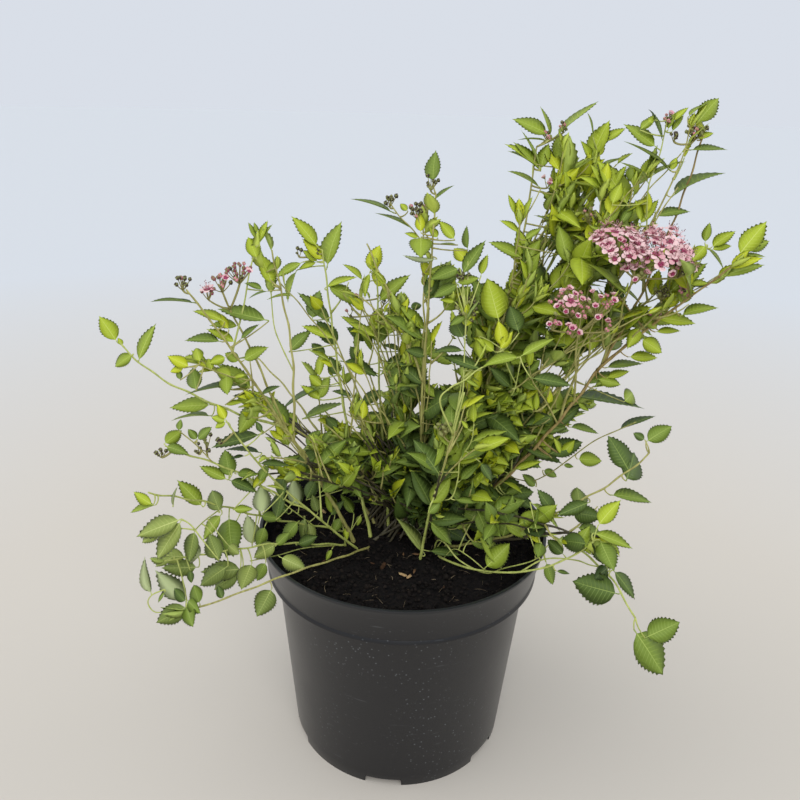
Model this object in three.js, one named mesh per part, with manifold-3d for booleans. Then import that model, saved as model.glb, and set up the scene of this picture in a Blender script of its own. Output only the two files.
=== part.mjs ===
// A young flowering spirea shrub, built together with the round nursery pot it grows in.
// Millimetres, +Z up. The origin is the centre of the pot's flat underside, -Y is the front.
//
// The pot is a thin moulded shell with a collar round its mouth and drainage notches in its foot.
// The compost fills it to just under the lip. The stems rise from the compost, fork into boughs,
// and each ends in a mass of foliage or blossom that carries the shoot on to its tip.

import * as THREE from 'three';
import { mergeVertices } from 'three/addons/utils/BufferGeometryUtils.js';
import Module from 'manifold-3d';

const wasm = await Module();
wasm.setup();

// ---- Driving dimensions ---------------------------------------------------------------------

// Pot
const POT_HEIGHT = 157;
const RIM_RADIUS = 95;
const COLLAR_HEIGHT = 23;
const COLLAR_FOOT_RADIUS = 92.5;
const BODY_TOP_RADIUS = 84.5;
const BASE_RADIUS = 73.5;
const WALL = 2;
const FLOOR = 2.4;
const POT_SEGMENTS = 32;

// Drainage notches, cut through the foot where wall and floor meet
const NOTCHES = 6;
const NOTCH_WIDTH = 24;
const NOTCH_HEIGHT = 5;
const NOTCH_DEPTH = 9;
const FIRST_NOTCH_AZIMUTH = -96;

// Compost
const SOIL_TOP = 144;
const SOIL_UNEVENNESS = 1.6;
const SOIL_SEGMENTS = 20;

// Clearance left between any two solids that touch
const GAP = 0.3;

// Limbs
const LIMB_SIDES = 6;
const LIMB_STEPS = 5;
const TIP_TO_FOOT_RADIUS = 0.62;
const FOOT_FLARE = 1.4;

// Foliage
const MASS_SIDES = 8;
const MASS_STEPS = 6;
const MASS_UNEVENNESS = 0.24;
const MASS_END_FULLNESS = 0.2;
const MASS_SKEW = 0.85;
const MASS_FLATNESS = 0.8;
const LIMB_INTO_MASS = 0.02;

// Heads of blossom: share of the thickness from the middle, and share of the radius there
const HEAD_PROFILE = [[-0.5, 0.35], [-0.25, 0.8], [0.05, 1], [0.3, 0.85], [0.5, 0.45]];

// Every shoot of the shrub. azimuth (degrees from +X), reach (from the pot's axis) and rise (over
// the compost) place its tip. It starts at its own foot on the compost, or, where it is a fork, on
// the shoot it grows `from`, `at` a share of that one's length. bow lifts its middle off the
// straight line (below it when negative) and sway swings it sideways. radius is that of the bare
// limb at its foot, bare the share of the shoot without leaves, width the half width of its mass.
const SHOOTS = [
  { name: 'left_flower', foot: [-33, -5], azimuth: 208, reach: 130, rise: 184, bow: 4, sway: 0,
    radius: 1.9, bare: 0.5, width: 27 },
  { name: 'left_leaf', foot: [-22, 2], azimuth: 152, reach: 66, rise: 208, bow: -4, sway: 0,
    radius: 1.6, bare: 0.5, width: 25 },
  { name: 'yellow_tip', foot: [-10, 12], azimuth: 114, reach: 62, rise: 192, bow: 0, sway: 0,
    radius: 1.5, bare: 0.5, width: 24 },
  { name: 'centre', foot: [15, 2], azimuth: -40, reach: 17, rise: 254, bow: 0, sway: 4,
    radius: 1.7, bare: 0.5, width: 24 },
  { name: 'rosette', foot: [25, 12], azimuth: 20, reach: 68, rise: 228, bow: -10, sway: 0,
    radius: 1.7, bare: 0.6, width: 22 },
  { name: 'top_right', foot: [24, 3], azimuth: 6, reach: 165, rise: 282, bow: -30, sway: 2,
    radius: 2.1, bare: 0.62, width: 26 },
  { name: 'right_low', foot: [28, -8], azimuth: -28, reach: 157, rise: 118, bow: -12, sway: 10,
    radius: 1.6, bare: 0.5, width: 26 },
  { name: 'over_rim', foot: [21, -16], azimuth: -40, reach: 142, rise: 68, bow: -16, sway: 8,
    radius: 1.6, bare: 0.6, width: 20 },
  { name: 'front', foot: [12, -22], azimuth: -50, reach: 53, rise: 134, bow: -2, sway: 5,
    radius: 1.5, bare: 0.5, width: 20 },
  { name: 'left_mid', foot: [-30, -14], azimuth: 216, reach: 122, rise: 120, bow: -5, sway: 0,
    radius: 1.5, bare: 0.42, width: 24 },
  { name: 'left_low', foot: [-36, 5], azimuth: 215, reach: 174, rise: 88, bow: -4, sway: 16,
    radius: 1.5, bare: 0.35, width: 22 },
  { name: 'left_hanging', foot: [-38, -10], azimuth: 215, reach: 178, rise: 42, bow: 4, sway: 0,
    radius: 1.5, bare: 0.45, width: 22 },
  { name: 'left_lowest', foot: [-22, -12], azimuth: 220, reach: 176, rise: 14, bow: 12, sway: -16,
    radius: 1.5, bare: 0.55, width: 18 },
  { name: 'back_left', foot: [-20, 18], azimuth: 143, reach: 156, rise: 106, bow: 8, sway: 0,
    radius: 1.6, bare: 0.4, width: 36 },
  { name: 'back', foot: [0, 24], azimuth: 98, reach: 158, rise: 98, bow: 10, sway: 0,
    radius: 1.6, bare: 0.35, width: 38 },
  { name: 'back_right', foot: [16, 24], azimuth: 56, reach: 165, rise: 112, bow: 8, sway: 0,
    radius: 1.6, bare: 0.35, width: 38 },
  { name: 'right_back', foot: [32, 16], azimuth: 22, reach: 148, rise: 100, bow: 6, sway: 0,
    radius: 1.6, bare: 0.4, width: 30 },
  { name: 'far_left', from: 'left_flower', at: 0.5, azimuth: 185, reach: 183, rise: 152, bow: -12,
    sway: 0, radius: 1.2, bare: 0.55, width: 14 },
  { name: 'upper_left', from: 'left_flower', at: 0.44, azimuth: 190, reach: 84, rise: 216, bow: 6,
    sway: 0, radius: 1.2, bare: 0.4, width: 17 },
  { name: 'centre_left', from: 'centre', at: 0.46, azimuth: 149, reach: 50, rise: 220, bow: 2,
    sway: 0, radius: 1.2, bare: 0.4, width: 17 },
  { name: 'right_top', from: 'rosette', at: 0.56, azimuth: 34, reach: 92, rise: 276, bow: -4,
    sway: 0, radius: 1.3, bare: 0.35, width: 24 },
  { name: 'right_crest', from: 'rosette', at: 0.5, azimuth: 27, reach: 138, rise: 272, bow: -6,
    sway: 0, radius: 1.3, bare: 0.4, width: 27 },
  { name: 'far_right', from: 'top_right', at: 0.48, azimuth: -10, reach: 191, rise: 216, bow: 0,
    sway: 0, radius: 1.5, bare: 0.2, width: 25 },
  { name: 'right_droop', from: 'right_low', at: 0.4, azimuth: -41, reach: 183, rise: -3, bow: 24,
    sway: 0, radius: 1.1, bare: 0.25, width: 19 },
  { name: 'left_side', from: 'left_mid', at: 0.36, azimuth: 208, reach: 152, rise: 102, bow: 2,
    sway: 0, radius: 1.1, bare: 0.4, width: 17 },
];

// Flat-topped heads of blossom, each on a bough of its own: head radius and thickness
const HEADS = [
  { name: 'blossom_main', from: 'top_right', at: 0.5, azimuth: -7, reach: 129, rise: 201, bow: 0,
    sway: 0, radius: 1.3, headRadius: 29, thickness: 26 },
  { name: 'blossom_small', from: 'top_right', at: 0.4, azimuth: -15, reach: 99, rise: 169, bow: 0,
    sway: 0, radius: 1.1, headRadius: 20, thickness: 22 },
  { name: 'blossom_left', from: 'left_flower', at: 0.48, azimuth: 205, reach: 112, rise: 184, bow: 0,
    sway: 0, radius: 1.1, headRadius: 20, thickness: 18 },
];

// The dense leaves that fill the middle of the shrub, each between two places on the crown
const INNER_MASSES = [
  { name: 'leaves_inner_left', azimuth: 170, fromReach: 22, toReach: 62, fromRise: 14, toRise: 132,
    width: 34 },
  { name: 'leaves_inner_right', azimuth: 10, fromReach: 30, toReach: 64, fromRise: 14, toRise: 136,
    width: 34 },
];

const COLOURS = {
  pot: new THREE.Color(0x1f2226),
  soil: new THREE.Color(0x17120f),
  bark: new THREE.Color(0x8c8548),
  leaf: new THREE.Color(0x4f7d2c),
  blossom: new THREE.Color(0xd898ae),
};

// ---- Helpers --------------------------------------------------------------------------------

const UP = new THREE.Vector3(0, 0, 1);
const ALONG_X = new THREE.Vector3(1, 0, 0);

/** Matte material of one colour. */
function matte(colour, roughness) {
  return new THREE.MeshStandardMaterial({ color: colour, roughness, metalness: 0 });
}

/** A place given by its azimuth in degrees, its reach from the axis and its height. */
function polar(azimuth, reach, height) {
  const angle = THREE.MathUtils.degToRad(azimuth);
  return new THREE.Vector3(reach * Math.cos(angle), reach * Math.sin(angle), height);
}

/** Solid of a closed geometry, its shared vertices merged first. */
function solidOf(geometry) {
  const bare = geometry.clone();
  bare.deleteAttribute('normal');
  bare.deleteAttribute('uv');
  const merged = mergeVertices(bare, 1e-4);
  const vertProperties = new Float32Array(merged.attributes.position.array);
  const triVerts = new Uint32Array(merged.index.array);
  return new wasm.Manifold(new wasm.Mesh({ numProp: 3, vertProperties, triVerts }));
}

/** Geometry of a solid's largest body. */
function geometryOf(solid) {
  const bodies = solid.decompose();
  const largest = bodies.reduce((best, body) => (body.volume() > best.volume() ? body : best));
  const mesh = largest.getMesh();
  const geometry = new THREE.BufferGeometry();
  geometry.setAttribute('position', new THREE.BufferAttribute(mesh.vertProperties, 3));
  geometry.setIndex(new THREE.BufferAttribute(mesh.triVerts, 1));
  geometry.computeVertexNormals();
  return geometry;
}

/** Closed loft through rings of equally many points, capped flat at both ends. */
function loft(rings) {
  const sides = rings[0].length;
  const positions = rings.flat().flatMap((point) => point.toArray());
  const index = [];
  for (let ring = 0; ring < rings.length - 1; ring += 1) {
    for (let side = 0; side < sides; side += 1) {
      const a = ring * sides + side;
      const b = ring * sides + ((side + 1) % sides);
      index.push(a, b, b + sides, a, b + sides, a + sides);
    }
  }
  const lastRing = (rings.length - 1) * sides;
  for (let side = 1; side < sides - 1; side += 1) {
    index.push(0, side + 1, side);
    index.push(lastRing, lastRing + side, lastRing + side + 1);
  }
  const geometry = new THREE.BufferGeometry();
  geometry.setAttribute('position', new THREE.Float32BufferAttribute(positions, 3));
  geometry.setIndex(index);
  return geometry;
}

/**
 * Ring of points round a centre, square to a direction. aside, which is never along the direction,
 * says where the ring starts, so that the rings of one loft don't twist. radiusAt gives the radius
 * at an angle, and flatness the share of it that is left square to aside.
 */
function ringRound(centre, direction, aside, sides, radiusAt, flatness = 1) {
  const across = aside.clone().addScaledVector(direction, -aside.dot(direction)).normalize();
  const over = new THREE.Vector3().crossVectors(direction, across);
  return Array.from({ length: sides }, (unused, side) => {
    const angle = (2 * Math.PI * side) / sides;
    const radius = radiusAt(angle);
    return centre.clone()
      .addScaledVector(across, radius * Math.cos(angle))
      .addScaledVector(over, radius * flatness * Math.sin(angle));
  });
}

/** Level direction square to the line between a curve's ends. */
function levelAside(curve) {
  const chord = curve.getPoint(1).sub(curve.getPoint(0));
  return new THREE.Vector3(-chord.y, chord.x, 0).normalize();
}

// ---- Pot and compost ------------------------------------------------------------------------

/** Outer radius of the pot's tapering body at a height. */
function bodyRadius(height) {
  const share = height / (POT_HEIGHT - COLLAR_HEIGHT);
  return THREE.MathUtils.lerp(BASE_RADIUS, BODY_TOP_RADIUS, share);
}

/** The moulded shell with its collar, turned round the axis, before the notches are cut. */
function potShell() {
  const collarFoot = POT_HEIGHT - COLLAR_HEIGHT;
  const profile = [
    [0, 0],
    [BASE_RADIUS, 0],
    [BODY_TOP_RADIUS, collarFoot],
    [COLLAR_FOOT_RADIUS, collarFoot],
    [RIM_RADIUS, POT_HEIGHT],
    [RIM_RADIUS - WALL, POT_HEIGHT],
    [COLLAR_FOOT_RADIUS - WALL, collarFoot + WALL],
    [BODY_TOP_RADIUS - WALL, collarFoot + WALL],
    [bodyRadius(FLOOR) - WALL, FLOOR],
    [0, FLOOR],
  ];
  const points = profile.map(([radius, height]) => new THREE.Vector2(radius, height));
  return new THREE.LatheGeometry(points, POT_SEGMENTS).rotateX(Math.PI / 2);
}

/** One box that cuts a drainage notch through the foot of the wall. */
function notchCutter(azimuth) {
  const box = new THREE.BoxGeometry(2 * NOTCH_DEPTH, NOTCH_WIDTH, 2 * NOTCH_HEIGHT);
  return box.translate(BASE_RADIUS, 0, 0).rotateZ(THREE.MathUtils.degToRad(azimuth));
}

/** The whole pot. */
function potGeometry() {
  let solid = solidOf(potShell());
  for (let notch = 0; notch < NOTCHES; notch += 1) {
    const azimuth = FIRST_NOTCH_AZIMUTH + (notch * 360) / NOTCHES;
    solid = solid.subtract(solidOf(notchCutter(azimuth)));
  }
  return geometryOf(solid);
}

/** The compost: it follows the pot's inner wall, and its top is slightly uneven. */
function soilGeometry() {
  const collarStep = POT_HEIGHT - COLLAR_HEIGHT + WALL + GAP;
  const wallShare = (SOIL_TOP - collarStep) / (COLLAR_HEIGHT - WALL);
  const topRadius = THREE.MathUtils.lerp(COLLAR_FOOT_RADIUS, RIM_RADIUS, wallShare) - WALL - 2 * GAP;
  const profile = [
    [0, FLOOR + GAP],
    [bodyRadius(FLOOR) - WALL - 2 * GAP, FLOOR + GAP],
    [BODY_TOP_RADIUS - WALL - 2 * GAP, collarStep - WALL],
    [BODY_TOP_RADIUS - WALL - 2 * GAP, collarStep],
    [COLLAR_FOOT_RADIUS - WALL - 2 * GAP, collarStep],
    [topRadius, SOIL_TOP - SOIL_UNEVENNESS],
    [topRadius * 0.8, SOIL_TOP],
    [topRadius * 0.45, SOIL_TOP],
    [0, SOIL_TOP],
  ];
  const points = profile.map(([radius, height]) => new THREE.Vector2(radius, height));
  return geometryOf(solidOf(new THREE.LatheGeometry(points, SOIL_SEGMENTS).rotateX(Math.PI / 2)));
}

// ---- Shoots ---------------------------------------------------------------------------------

const curves = {};

/** Centre line of a shoot, from its foot or fork to its tip. */
function shootCurve(shoot) {
  const start = shoot.from
    ? curves[shoot.from].getPoint(shoot.at)
    : new THREE.Vector3(shoot.foot[0], shoot.foot[1], SOIL_TOP + GAP);
  const tip = polar(shoot.azimuth, shoot.reach, SOIL_TOP + shoot.rise);
  const chord = tip.clone().sub(start).normalize();
  const above = UP.clone().addScaledVector(chord, -chord.z).normalize();
  const aside = new THREE.Vector3().crossVectors(chord, above);
  const control = start.clone().lerp(tip, 0.5)
    .addScaledVector(above, 2 * shoot.bow)
    .addScaledVector(aside, 2 * shoot.sway);
  return new THREE.QuadraticBezierCurve3(start, control, tip);
}

/** Bare limb of a shoot up to the share where its leaves begin; extra widens it all over. */
function limbSolid(shoot, extra) {
  const curve = curves[shoot.name];
  const aside = levelAside(curve);
  const rings = [];
  for (let step = 0; step <= LIMB_STEPS; step += 1) {
    const share = (shoot.bare * step) / LIMB_STEPS;
    const centre = curve.getPoint(share);
    const direction = curve.getTangent(share);
    let radius = shoot.radius * THREE.MathUtils.lerp(1, TIP_TO_FOOT_RADIUS, step / LIMB_STEPS);
    if (step === LIMB_STEPS) centre.addScaledVector(direction, extra);
    if (step === 0 && !shoot.from) {
      direction.copy(UP);
      radius *= FOOT_FLARE;
    }
    rings.push(ringRound(centre, direction, aside, LIMB_SIDES, () => radius + extra));
  }
  return solidOf(loft(rings));
}

/** Uneven factor round a mass, the same each time for the same place and seed. */
function unevenness(angle, share, seed) {
  const slow = Math.sin(2 * angle + 5 * share + 1.7 * seed);
  const quick = Math.sin(3 * angle - 9 * share + 2.9 * seed);
  return 1 + MASS_UNEVENNESS * (0.6 * slow + 0.4 * quick);
}

/** Mass of foliage along a curve between two shares, full in the middle and narrow at both ends. */
function massSolid(curve, fromShare, width, seed, extra) {
  const aside = levelAside(curve);
  const rings = [];
  for (let step = 0; step <= MASS_STEPS; step += 1) {
    const along = step / MASS_STEPS;
    const share = THREE.MathUtils.lerp(fromShare, 1, along);
    const centre = curve.getPoint(share);
    const direction = curve.getTangent(share);
    if (step === 0) centre.addScaledVector(direction, -extra);
    if (step === MASS_STEPS) centre.addScaledVector(direction, extra);
    const fullness = Math.max(Math.sin(Math.PI * along ** MASS_SKEW), MASS_END_FULLNESS);
    const radiusAt = (angle) => width * fullness * unevenness(angle, along, seed) + extra;
    rings.push(ringRound(centre, direction, aside, MASS_SIDES, radiusAt, MASS_FLATNESS));
  }
  return solidOf(loft(rings));
}

/** Flat-topped head of blossom centred on the tip of its bough. */
function headSolid(head, seed, extra) {
  const top = curves[head.name].getPoint(1);
  const rings = HEAD_PROFILE.map(([height, radius]) => {
    const centre = top.clone().addScaledVector(UP, height * (head.thickness + 2 * extra));
    const radiusAt = (angle) => head.headRadius * radius * unevenness(angle, height, seed) + extra;
    return ringRound(centre, UP, ALONG_X, MASS_SIDES, radiusAt);
  });
  return solidOf(loft(rings));
}

// ---- The shrub ------------------------------------------------------------------------------

const shrub = new THREE.Group();

/** Adds one named sub-part to the shrub. */
function addPart(name, geometry, material) {
  const mesh = new THREE.Mesh(geometry, material);
  mesh.name = name;
  shrub.add(mesh);
}

/** Tells whether the boxes round two solids meet. */
function boxesMeet(first, second) {
  const a = first.boundingBox();
  const b = second.boundingBox();
  return [0, 1, 2].every((axis) => a.min[axis] < b.max[axis] && b.min[axis] < a.max[axis]);
}

/** Cuts from a solid whatever lies in its way, each cutter already widened by the gap. */
function cutClear(solid, cutters) {
  return cutters.filter((cutter) => boxesMeet(solid, cutter))
    .reduce((rest, cutter) => rest.subtract(cutter), solid);
}

addPart('pot', potGeometry(), matte(COLOURS.pot, 0.5));
addPart('soil', soilGeometry(), matte(COLOURS.soil, 0.95));

const cutters = [];

for (const shoot of [...SHOOTS, ...HEADS]) {
  curves[shoot.name] = shootCurve(shoot);
}

for (const shoot of SHOOTS) {
  const kind = shoot.from ? 'bough' : 'stem';
  const limb = cutClear(limbSolid(shoot, 0), cutters);
  addPart(`${kind}_${shoot.name}`, geometryOf(limb), matte(COLOURS.bark, 0.8));
  cutters.push(limbSolid(shoot, GAP));
}

for (const head of HEADS) {
  const bough = { ...head, bare: 0.9 };
  const limb = cutClear(limbSolid(bough, 0), cutters);
  addPart(`bough_${head.name}`, geometryOf(limb), matte(COLOURS.bark, 0.8));
  cutters.push(limbSolid(bough, GAP));
}

HEADS.forEach((head, seed) => {
  const solid = cutClear(headSolid(head, seed, 0), cutters);
  addPart(head.name, geometryOf(solid), matte(COLOURS.blossom, 0.8));
  cutters.push(headSolid(head, seed, GAP));
});

SHOOTS.forEach((shoot, seed) => {
  const start = shoot.bare - LIMB_INTO_MASS;
  const mass = cutClear(massSolid(curves[shoot.name], start, shoot.width, seed, 0), cutters);
  addPart(`leaves_${shoot.name}`, geometryOf(mass), matte(COLOURS.leaf, 0.7));
  cutters.push(massSolid(curves[shoot.name], start, shoot.width, seed, GAP));
});

INNER_MASSES.forEach((inner, seed) => {
  const low = polar(inner.azimuth, inner.fromReach, SOIL_TOP + inner.fromRise);
  const high = polar(inner.azimuth, inner.toReach, SOIL_TOP + inner.toRise);
  const axis = new THREE.LineCurve3(low, high);
  const mass = cutClear(massSolid(axis, 0, inner.width, seed, 0), cutters);
  addPart(inner.name, geometryOf(mass), matte(COLOURS.leaf, 0.7));
  cutters.push(massSolid(axis, 0, inner.width, seed, GAP));
});

export default shrub;
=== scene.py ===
# %% [markdown]
# # A potted spirea in flower
# A young garden shrub in the black pot it was raised in: a tuft of thin stems that fork, spread and
# lean over the rim, thousands of small toothed leaves, and flat heads of pink flowers.
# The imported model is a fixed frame. It says where the pot, the stems, the masses of foliage and the
# flower heads are. Everything below is finer work laid over that frame, so it is loaded first.

# %% Load the frame
import math
import random

import bpy
import numpy as np
from mathutils import Matrix, Vector


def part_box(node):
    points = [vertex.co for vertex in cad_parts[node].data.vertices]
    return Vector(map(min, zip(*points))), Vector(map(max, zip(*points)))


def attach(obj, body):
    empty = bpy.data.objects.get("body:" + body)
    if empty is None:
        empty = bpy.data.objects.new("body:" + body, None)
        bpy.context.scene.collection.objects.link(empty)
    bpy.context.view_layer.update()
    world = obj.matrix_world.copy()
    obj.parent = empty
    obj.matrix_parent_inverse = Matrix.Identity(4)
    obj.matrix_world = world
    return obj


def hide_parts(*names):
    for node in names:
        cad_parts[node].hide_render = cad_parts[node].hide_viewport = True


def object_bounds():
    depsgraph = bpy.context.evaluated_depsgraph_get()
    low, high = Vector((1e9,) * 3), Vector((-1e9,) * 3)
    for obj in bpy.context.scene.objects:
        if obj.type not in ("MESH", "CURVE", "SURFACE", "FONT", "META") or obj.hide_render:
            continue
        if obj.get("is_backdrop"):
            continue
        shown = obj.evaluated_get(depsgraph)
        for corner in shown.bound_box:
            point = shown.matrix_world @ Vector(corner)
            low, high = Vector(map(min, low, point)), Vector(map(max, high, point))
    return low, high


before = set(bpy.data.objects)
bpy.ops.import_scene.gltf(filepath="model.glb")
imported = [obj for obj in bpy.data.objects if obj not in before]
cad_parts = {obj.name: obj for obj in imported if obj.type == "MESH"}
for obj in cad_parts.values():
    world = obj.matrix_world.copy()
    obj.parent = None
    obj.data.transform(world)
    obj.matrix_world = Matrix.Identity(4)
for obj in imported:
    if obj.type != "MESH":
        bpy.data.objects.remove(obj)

CAD_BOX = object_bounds()
MM = 0.001
UP = np.array([0.0, 0.0, 1.0])
print("frame:", len(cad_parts), "nodes, box", [[round(v, 3) for v in c] for c in CAD_BOX])

# %% [markdown]
# ## Small helpers
# A plant is thousands of small things, and an operator call for each would take minutes. So they are
# computed as arrays, in millimetres, and joined into one mesh for each kind. `Heap` collects them,
# and `placed` tells the frame what a finished piece rides on and what it stands for.
# Large pieces such as the pot are modelled with operators, further down.

# %% Vectors and heaps
def unit(vector):
    """The vector at length one."""
    return vector / max(np.linalg.norm(vector), 1e-9)


def mix(low, high, share):
    """The value a share of the way from low to high."""
    return low + (high - low) * share


def square_to(axis, wish):
    """The direction nearest to wish that is square to axis."""
    rest = wish - axis * (wish @ axis)
    if np.linalg.norm(rest) < 0.05:
        rest = np.cross(axis, [0.31, -0.87, 0.38])
    return unit(rest)


def turned_about(axis, start, angle):
    """The direction start, which is square to axis, turned round it by an angle in radians."""
    return start * math.cos(angle) + np.cross(axis, start) * math.sin(angle)


def polar(azimuth, reach, height):
    """A place by its azimuth in degrees, its reach from the pot's axis and its height."""
    angle = math.radians(azimuth)
    return np.array([reach * math.cos(angle), reach * math.sin(angle), height])


class Heap:
    """Corners and faces of many small things, joined into one mesh at the end."""

    def __init__(self):
        self.corners, self.faces, self.finishes, self.count = [], [], [], 0

    def add(self, corners, faces, finishes=0):
        """Adds one thing; finishes is its material number, or a list with one for each face."""
        self.corners.append(corners)
        self.faces.extend([tuple(i + self.count for i in face) for face in faces])
        self.finishes.extend([finishes] * len(faces) if isinstance(finishes, int) else finishes)
        self.count += len(corners)

    def piece(self, name, slot, materials, nodes):
        """The finished piece, which stands for the named nodes."""
        mesh = bpy.data.meshes.new(name)
        mesh.from_pydata((np.concatenate(self.corners) * MM).tolist(), [], self.faces)
        for material in materials:
            mesh.materials.append(material)
        mesh.polygons.foreach_set("material_index", self.finishes)
        mesh.polygons.foreach_set("use_smooth", [True] * len(self.faces))
        mesh.update()
        piece = bpy.data.objects.new(name, mesh)
        bpy.context.scene.collection.objects.link(piece)
        return placed(piece, nodes)


def placed(piece, nodes):
    """Tells the frame what a finished piece rides on and what it stands for."""
    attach(piece, "root")
    if nodes:
        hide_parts(*nodes)
    triangles = sum(len(face.vertices) - 2 for face in piece.data.polygons)
    print(f"{piece.name}: {triangles} triangles, for {len(nodes)} nodes")
    return piece


# %% [markdown]
# ## Camera
# The lens, the camera's place and its three turns give the view that the shrub is known by: from a
# little above, at arm's length. The camera's axes are worked out first, because some shoots and
# leaves are placed where they show from here, and need to know the way a picture point lies.

# %% Camera
FRAME_SIDE = 800
HALF_FRAME = FRAME_SIDE / 2
LENS_PIXELS = 760
SENSOR_WIDTH = 36.0
CLIP_START = 0.01
CAMERA_PLACE = np.array([0.0, -439.4, 428.6])
LOOKS_DOWN, LOOKS_LEFT, ROLLS = 22.65, 0.57, 1.654

down, left, roll = (math.radians(turn) for turn in (LOOKS_DOWN, LOOKS_LEFT, ROLLS))
ahead = np.array([-math.sin(left) * math.cos(down), math.cos(left) * math.cos(down), -math.sin(down)])
level_right = unit(np.cross(ahead, UP))
level_up = np.cross(level_right, ahead)
view_right = math.cos(roll) * level_right + math.sin(roll) * level_up
view_up = math.cos(roll) * level_up - math.sin(roll) * level_right

lens = bpy.data.cameras.new("camera")
lens.sensor_width = SENSOR_WIDTH
lens.lens = LENS_PIXELS / FRAME_SIDE * SENSOR_WIDTH
lens.clip_start = CLIP_START
camera = bpy.data.objects.new("camera", lens)
bpy.context.scene.collection.objects.link(camera)
turn = Matrix([list(column) for column in zip(view_right, view_up, -ahead)])
camera.matrix_world = Matrix.Translation(Vector(CAMERA_PLACE * MM)) @ turn.to_4x4()
bpy.context.scene.camera = camera
print("camera: lens", round(lens.lens, 1), "mm")


def picture_point(place):
    """Where a place, or each of many, shows in the picture, and how far ahead of the camera it is."""
    offset = np.asarray(place) - CAMERA_PLACE
    depth = offset @ ahead
    scale = LENS_PIXELS / depth
    return HALF_FRAME + scale * (offset @ view_right), HALF_FRAME - scale * (offset @ view_up), depth


def picture_ray(across, downward):
    """The way from the camera to a point of the picture, for one millimetre ahead."""
    aside, below = across - HALF_FRAME, downward - HALF_FRAME
    return ahead + view_right * aside / LENS_PIXELS - view_up * below / LENS_PIXELS


def place_ahead(across, downward, depth):
    """The place that shows at a picture point and lies so far ahead of the camera."""
    return CAMERA_PLACE + picture_ray(across, downward) * depth


# %% [markdown]
# ## Floor and light
# The studio is one pale floor with a pale sky all round, so the shrub can be seen from every side.
# The floor is warm near the pot and cool far off, like cloth that runs back to a wall. The light is
# soft and broad: a key from high on the left, a fill from the front that reaches under the crown,
# and a low lamp on either side, which draw the two upright sheens on the pot.

# %% Materials' common start
def new_material(name, roughness):
    """A material with its nodes emptied but for the shader, and what is needed to add more."""
    material = bpy.data.materials.new(name)
    material.use_nodes = True
    nodes, links = material.node_tree.nodes, material.node_tree.links
    shader = nodes["Principled BSDF"]
    shader.inputs["Roughness"].default_value = roughness
    return material, nodes, links, shader


def linear(red, green, blue):
    """A colour given in the usual 0 to 255 steps, as the linear values that shaders take."""
    return tuple((step / 255) ** 2.2 for step in (red, green, blue)) + (1.0,)


def grey(level):
    """A neutral colour at a linear level."""
    return (level, level, level, 1.0)


def noise_node(nodes, links, scale, detail=4.0, stretch=(1, 1, 1)):
    """A noise pattern on the piece's own coordinates; scale is in repeats to the metre."""
    place = nodes.new("ShaderNodeTexCoord")
    mapping = nodes.new("ShaderNodeMapping")
    mapping.inputs["Scale"].default_value = stretch
    pattern = nodes.new("ShaderNodeTexNoise")
    pattern.inputs["Scale"].default_value = scale
    pattern.inputs["Detail"].default_value = detail
    links.new(place.outputs["Object"], mapping.inputs["Vector"])
    links.new(mapping.outputs["Vector"], pattern.inputs["Vector"])
    return pattern.outputs["Fac"]


def ramp_node(nodes, links, value, stops):
    """A colour for each value, by stops of (value, colour)."""
    ramp = nodes.new("ShaderNodeValToRGB")
    ends = ramp.color_ramp.elements
    for number, (stop, colour) in enumerate(stops):
        end = ends[number] if number < 2 else ends.new(stop)
        end.position, end.color = stop, colour
    links.new(value, ramp.inputs["Fac"])
    return ramp.outputs["Color"]


def range_node(nodes, links, value, taken=(0.0, 1.0), given=(0.0, 1.0)):
    """A value carried over from one range, taken, to another, given."""
    carried = nodes.new("ShaderNodeMapRange")
    for name, limit in zip(("From Min", "From Max", "To Min", "To Max"), taken + given):
        carried.inputs[name].default_value = limit
    links.new(value, carried.inputs["Value"])
    return carried.outputs["Result"]


def math_node(nodes, links, operation, first, second):
    """Two values put through one sum."""
    result = nodes.new("ShaderNodeMath")
    result.operation = operation
    links.new(first, result.inputs[0])
    links.new(second, result.inputs[1])
    return result.outputs[0]


def bump_node(nodes, links, shader, height, strength, distance):
    """Raises the surface by a pattern; distance is in metres."""
    bump = nodes.new("ShaderNodeBump")
    bump.inputs["Strength"].default_value = strength
    bump.inputs["Distance"].default_value = distance
    links.new(height, bump.inputs["Height"])
    links.new(bump.outputs["Normal"], shader.inputs["Normal"])


# %% Floor
FLOOR_REACH, FLOOR_SIDES = 12.0, 96
WARM_CLOTH = linear(198, 191, 180)
COOL_CLOTH = linear(198, 201, 204)
WARM_WITHIN, COOL_BEYOND = 0.4, 1.5

bpy.ops.object.select_all(action="DESELECT")
bpy.ops.mesh.primitive_circle_add(vertices=FLOOR_SIDES, radius=FLOOR_REACH, fill_type="NGON")
floor = bpy.context.object
floor.name = "floor"
material, nodes, links, shader = new_material("pale_cloth", 0.9)
place = nodes.new("ShaderNodeTexCoord")
reach = nodes.new("ShaderNodeVectorMath")
reach.operation = "LENGTH"
links.new(place.outputs["Object"], reach.inputs[0])
far_off = range_node(nodes, links, reach.outputs["Value"], taken=(WARM_WITHIN, COOL_BEYOND))
cloth = ramp_node(nodes, links, far_off, [(0.0, WARM_CLOTH), (1.0, COOL_CLOTH)])
links.new(cloth, shader.inputs["Base Color"])
shader.inputs["Specular IOR Level"].default_value = 0.0
floor.data.materials.append(material)
floor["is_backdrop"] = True

# %% Sky and lamps
SKY = linear(229, 235, 245)
SKY_STRENGTH = 0.88
LAMP_DISTANCE = 3.0
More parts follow.
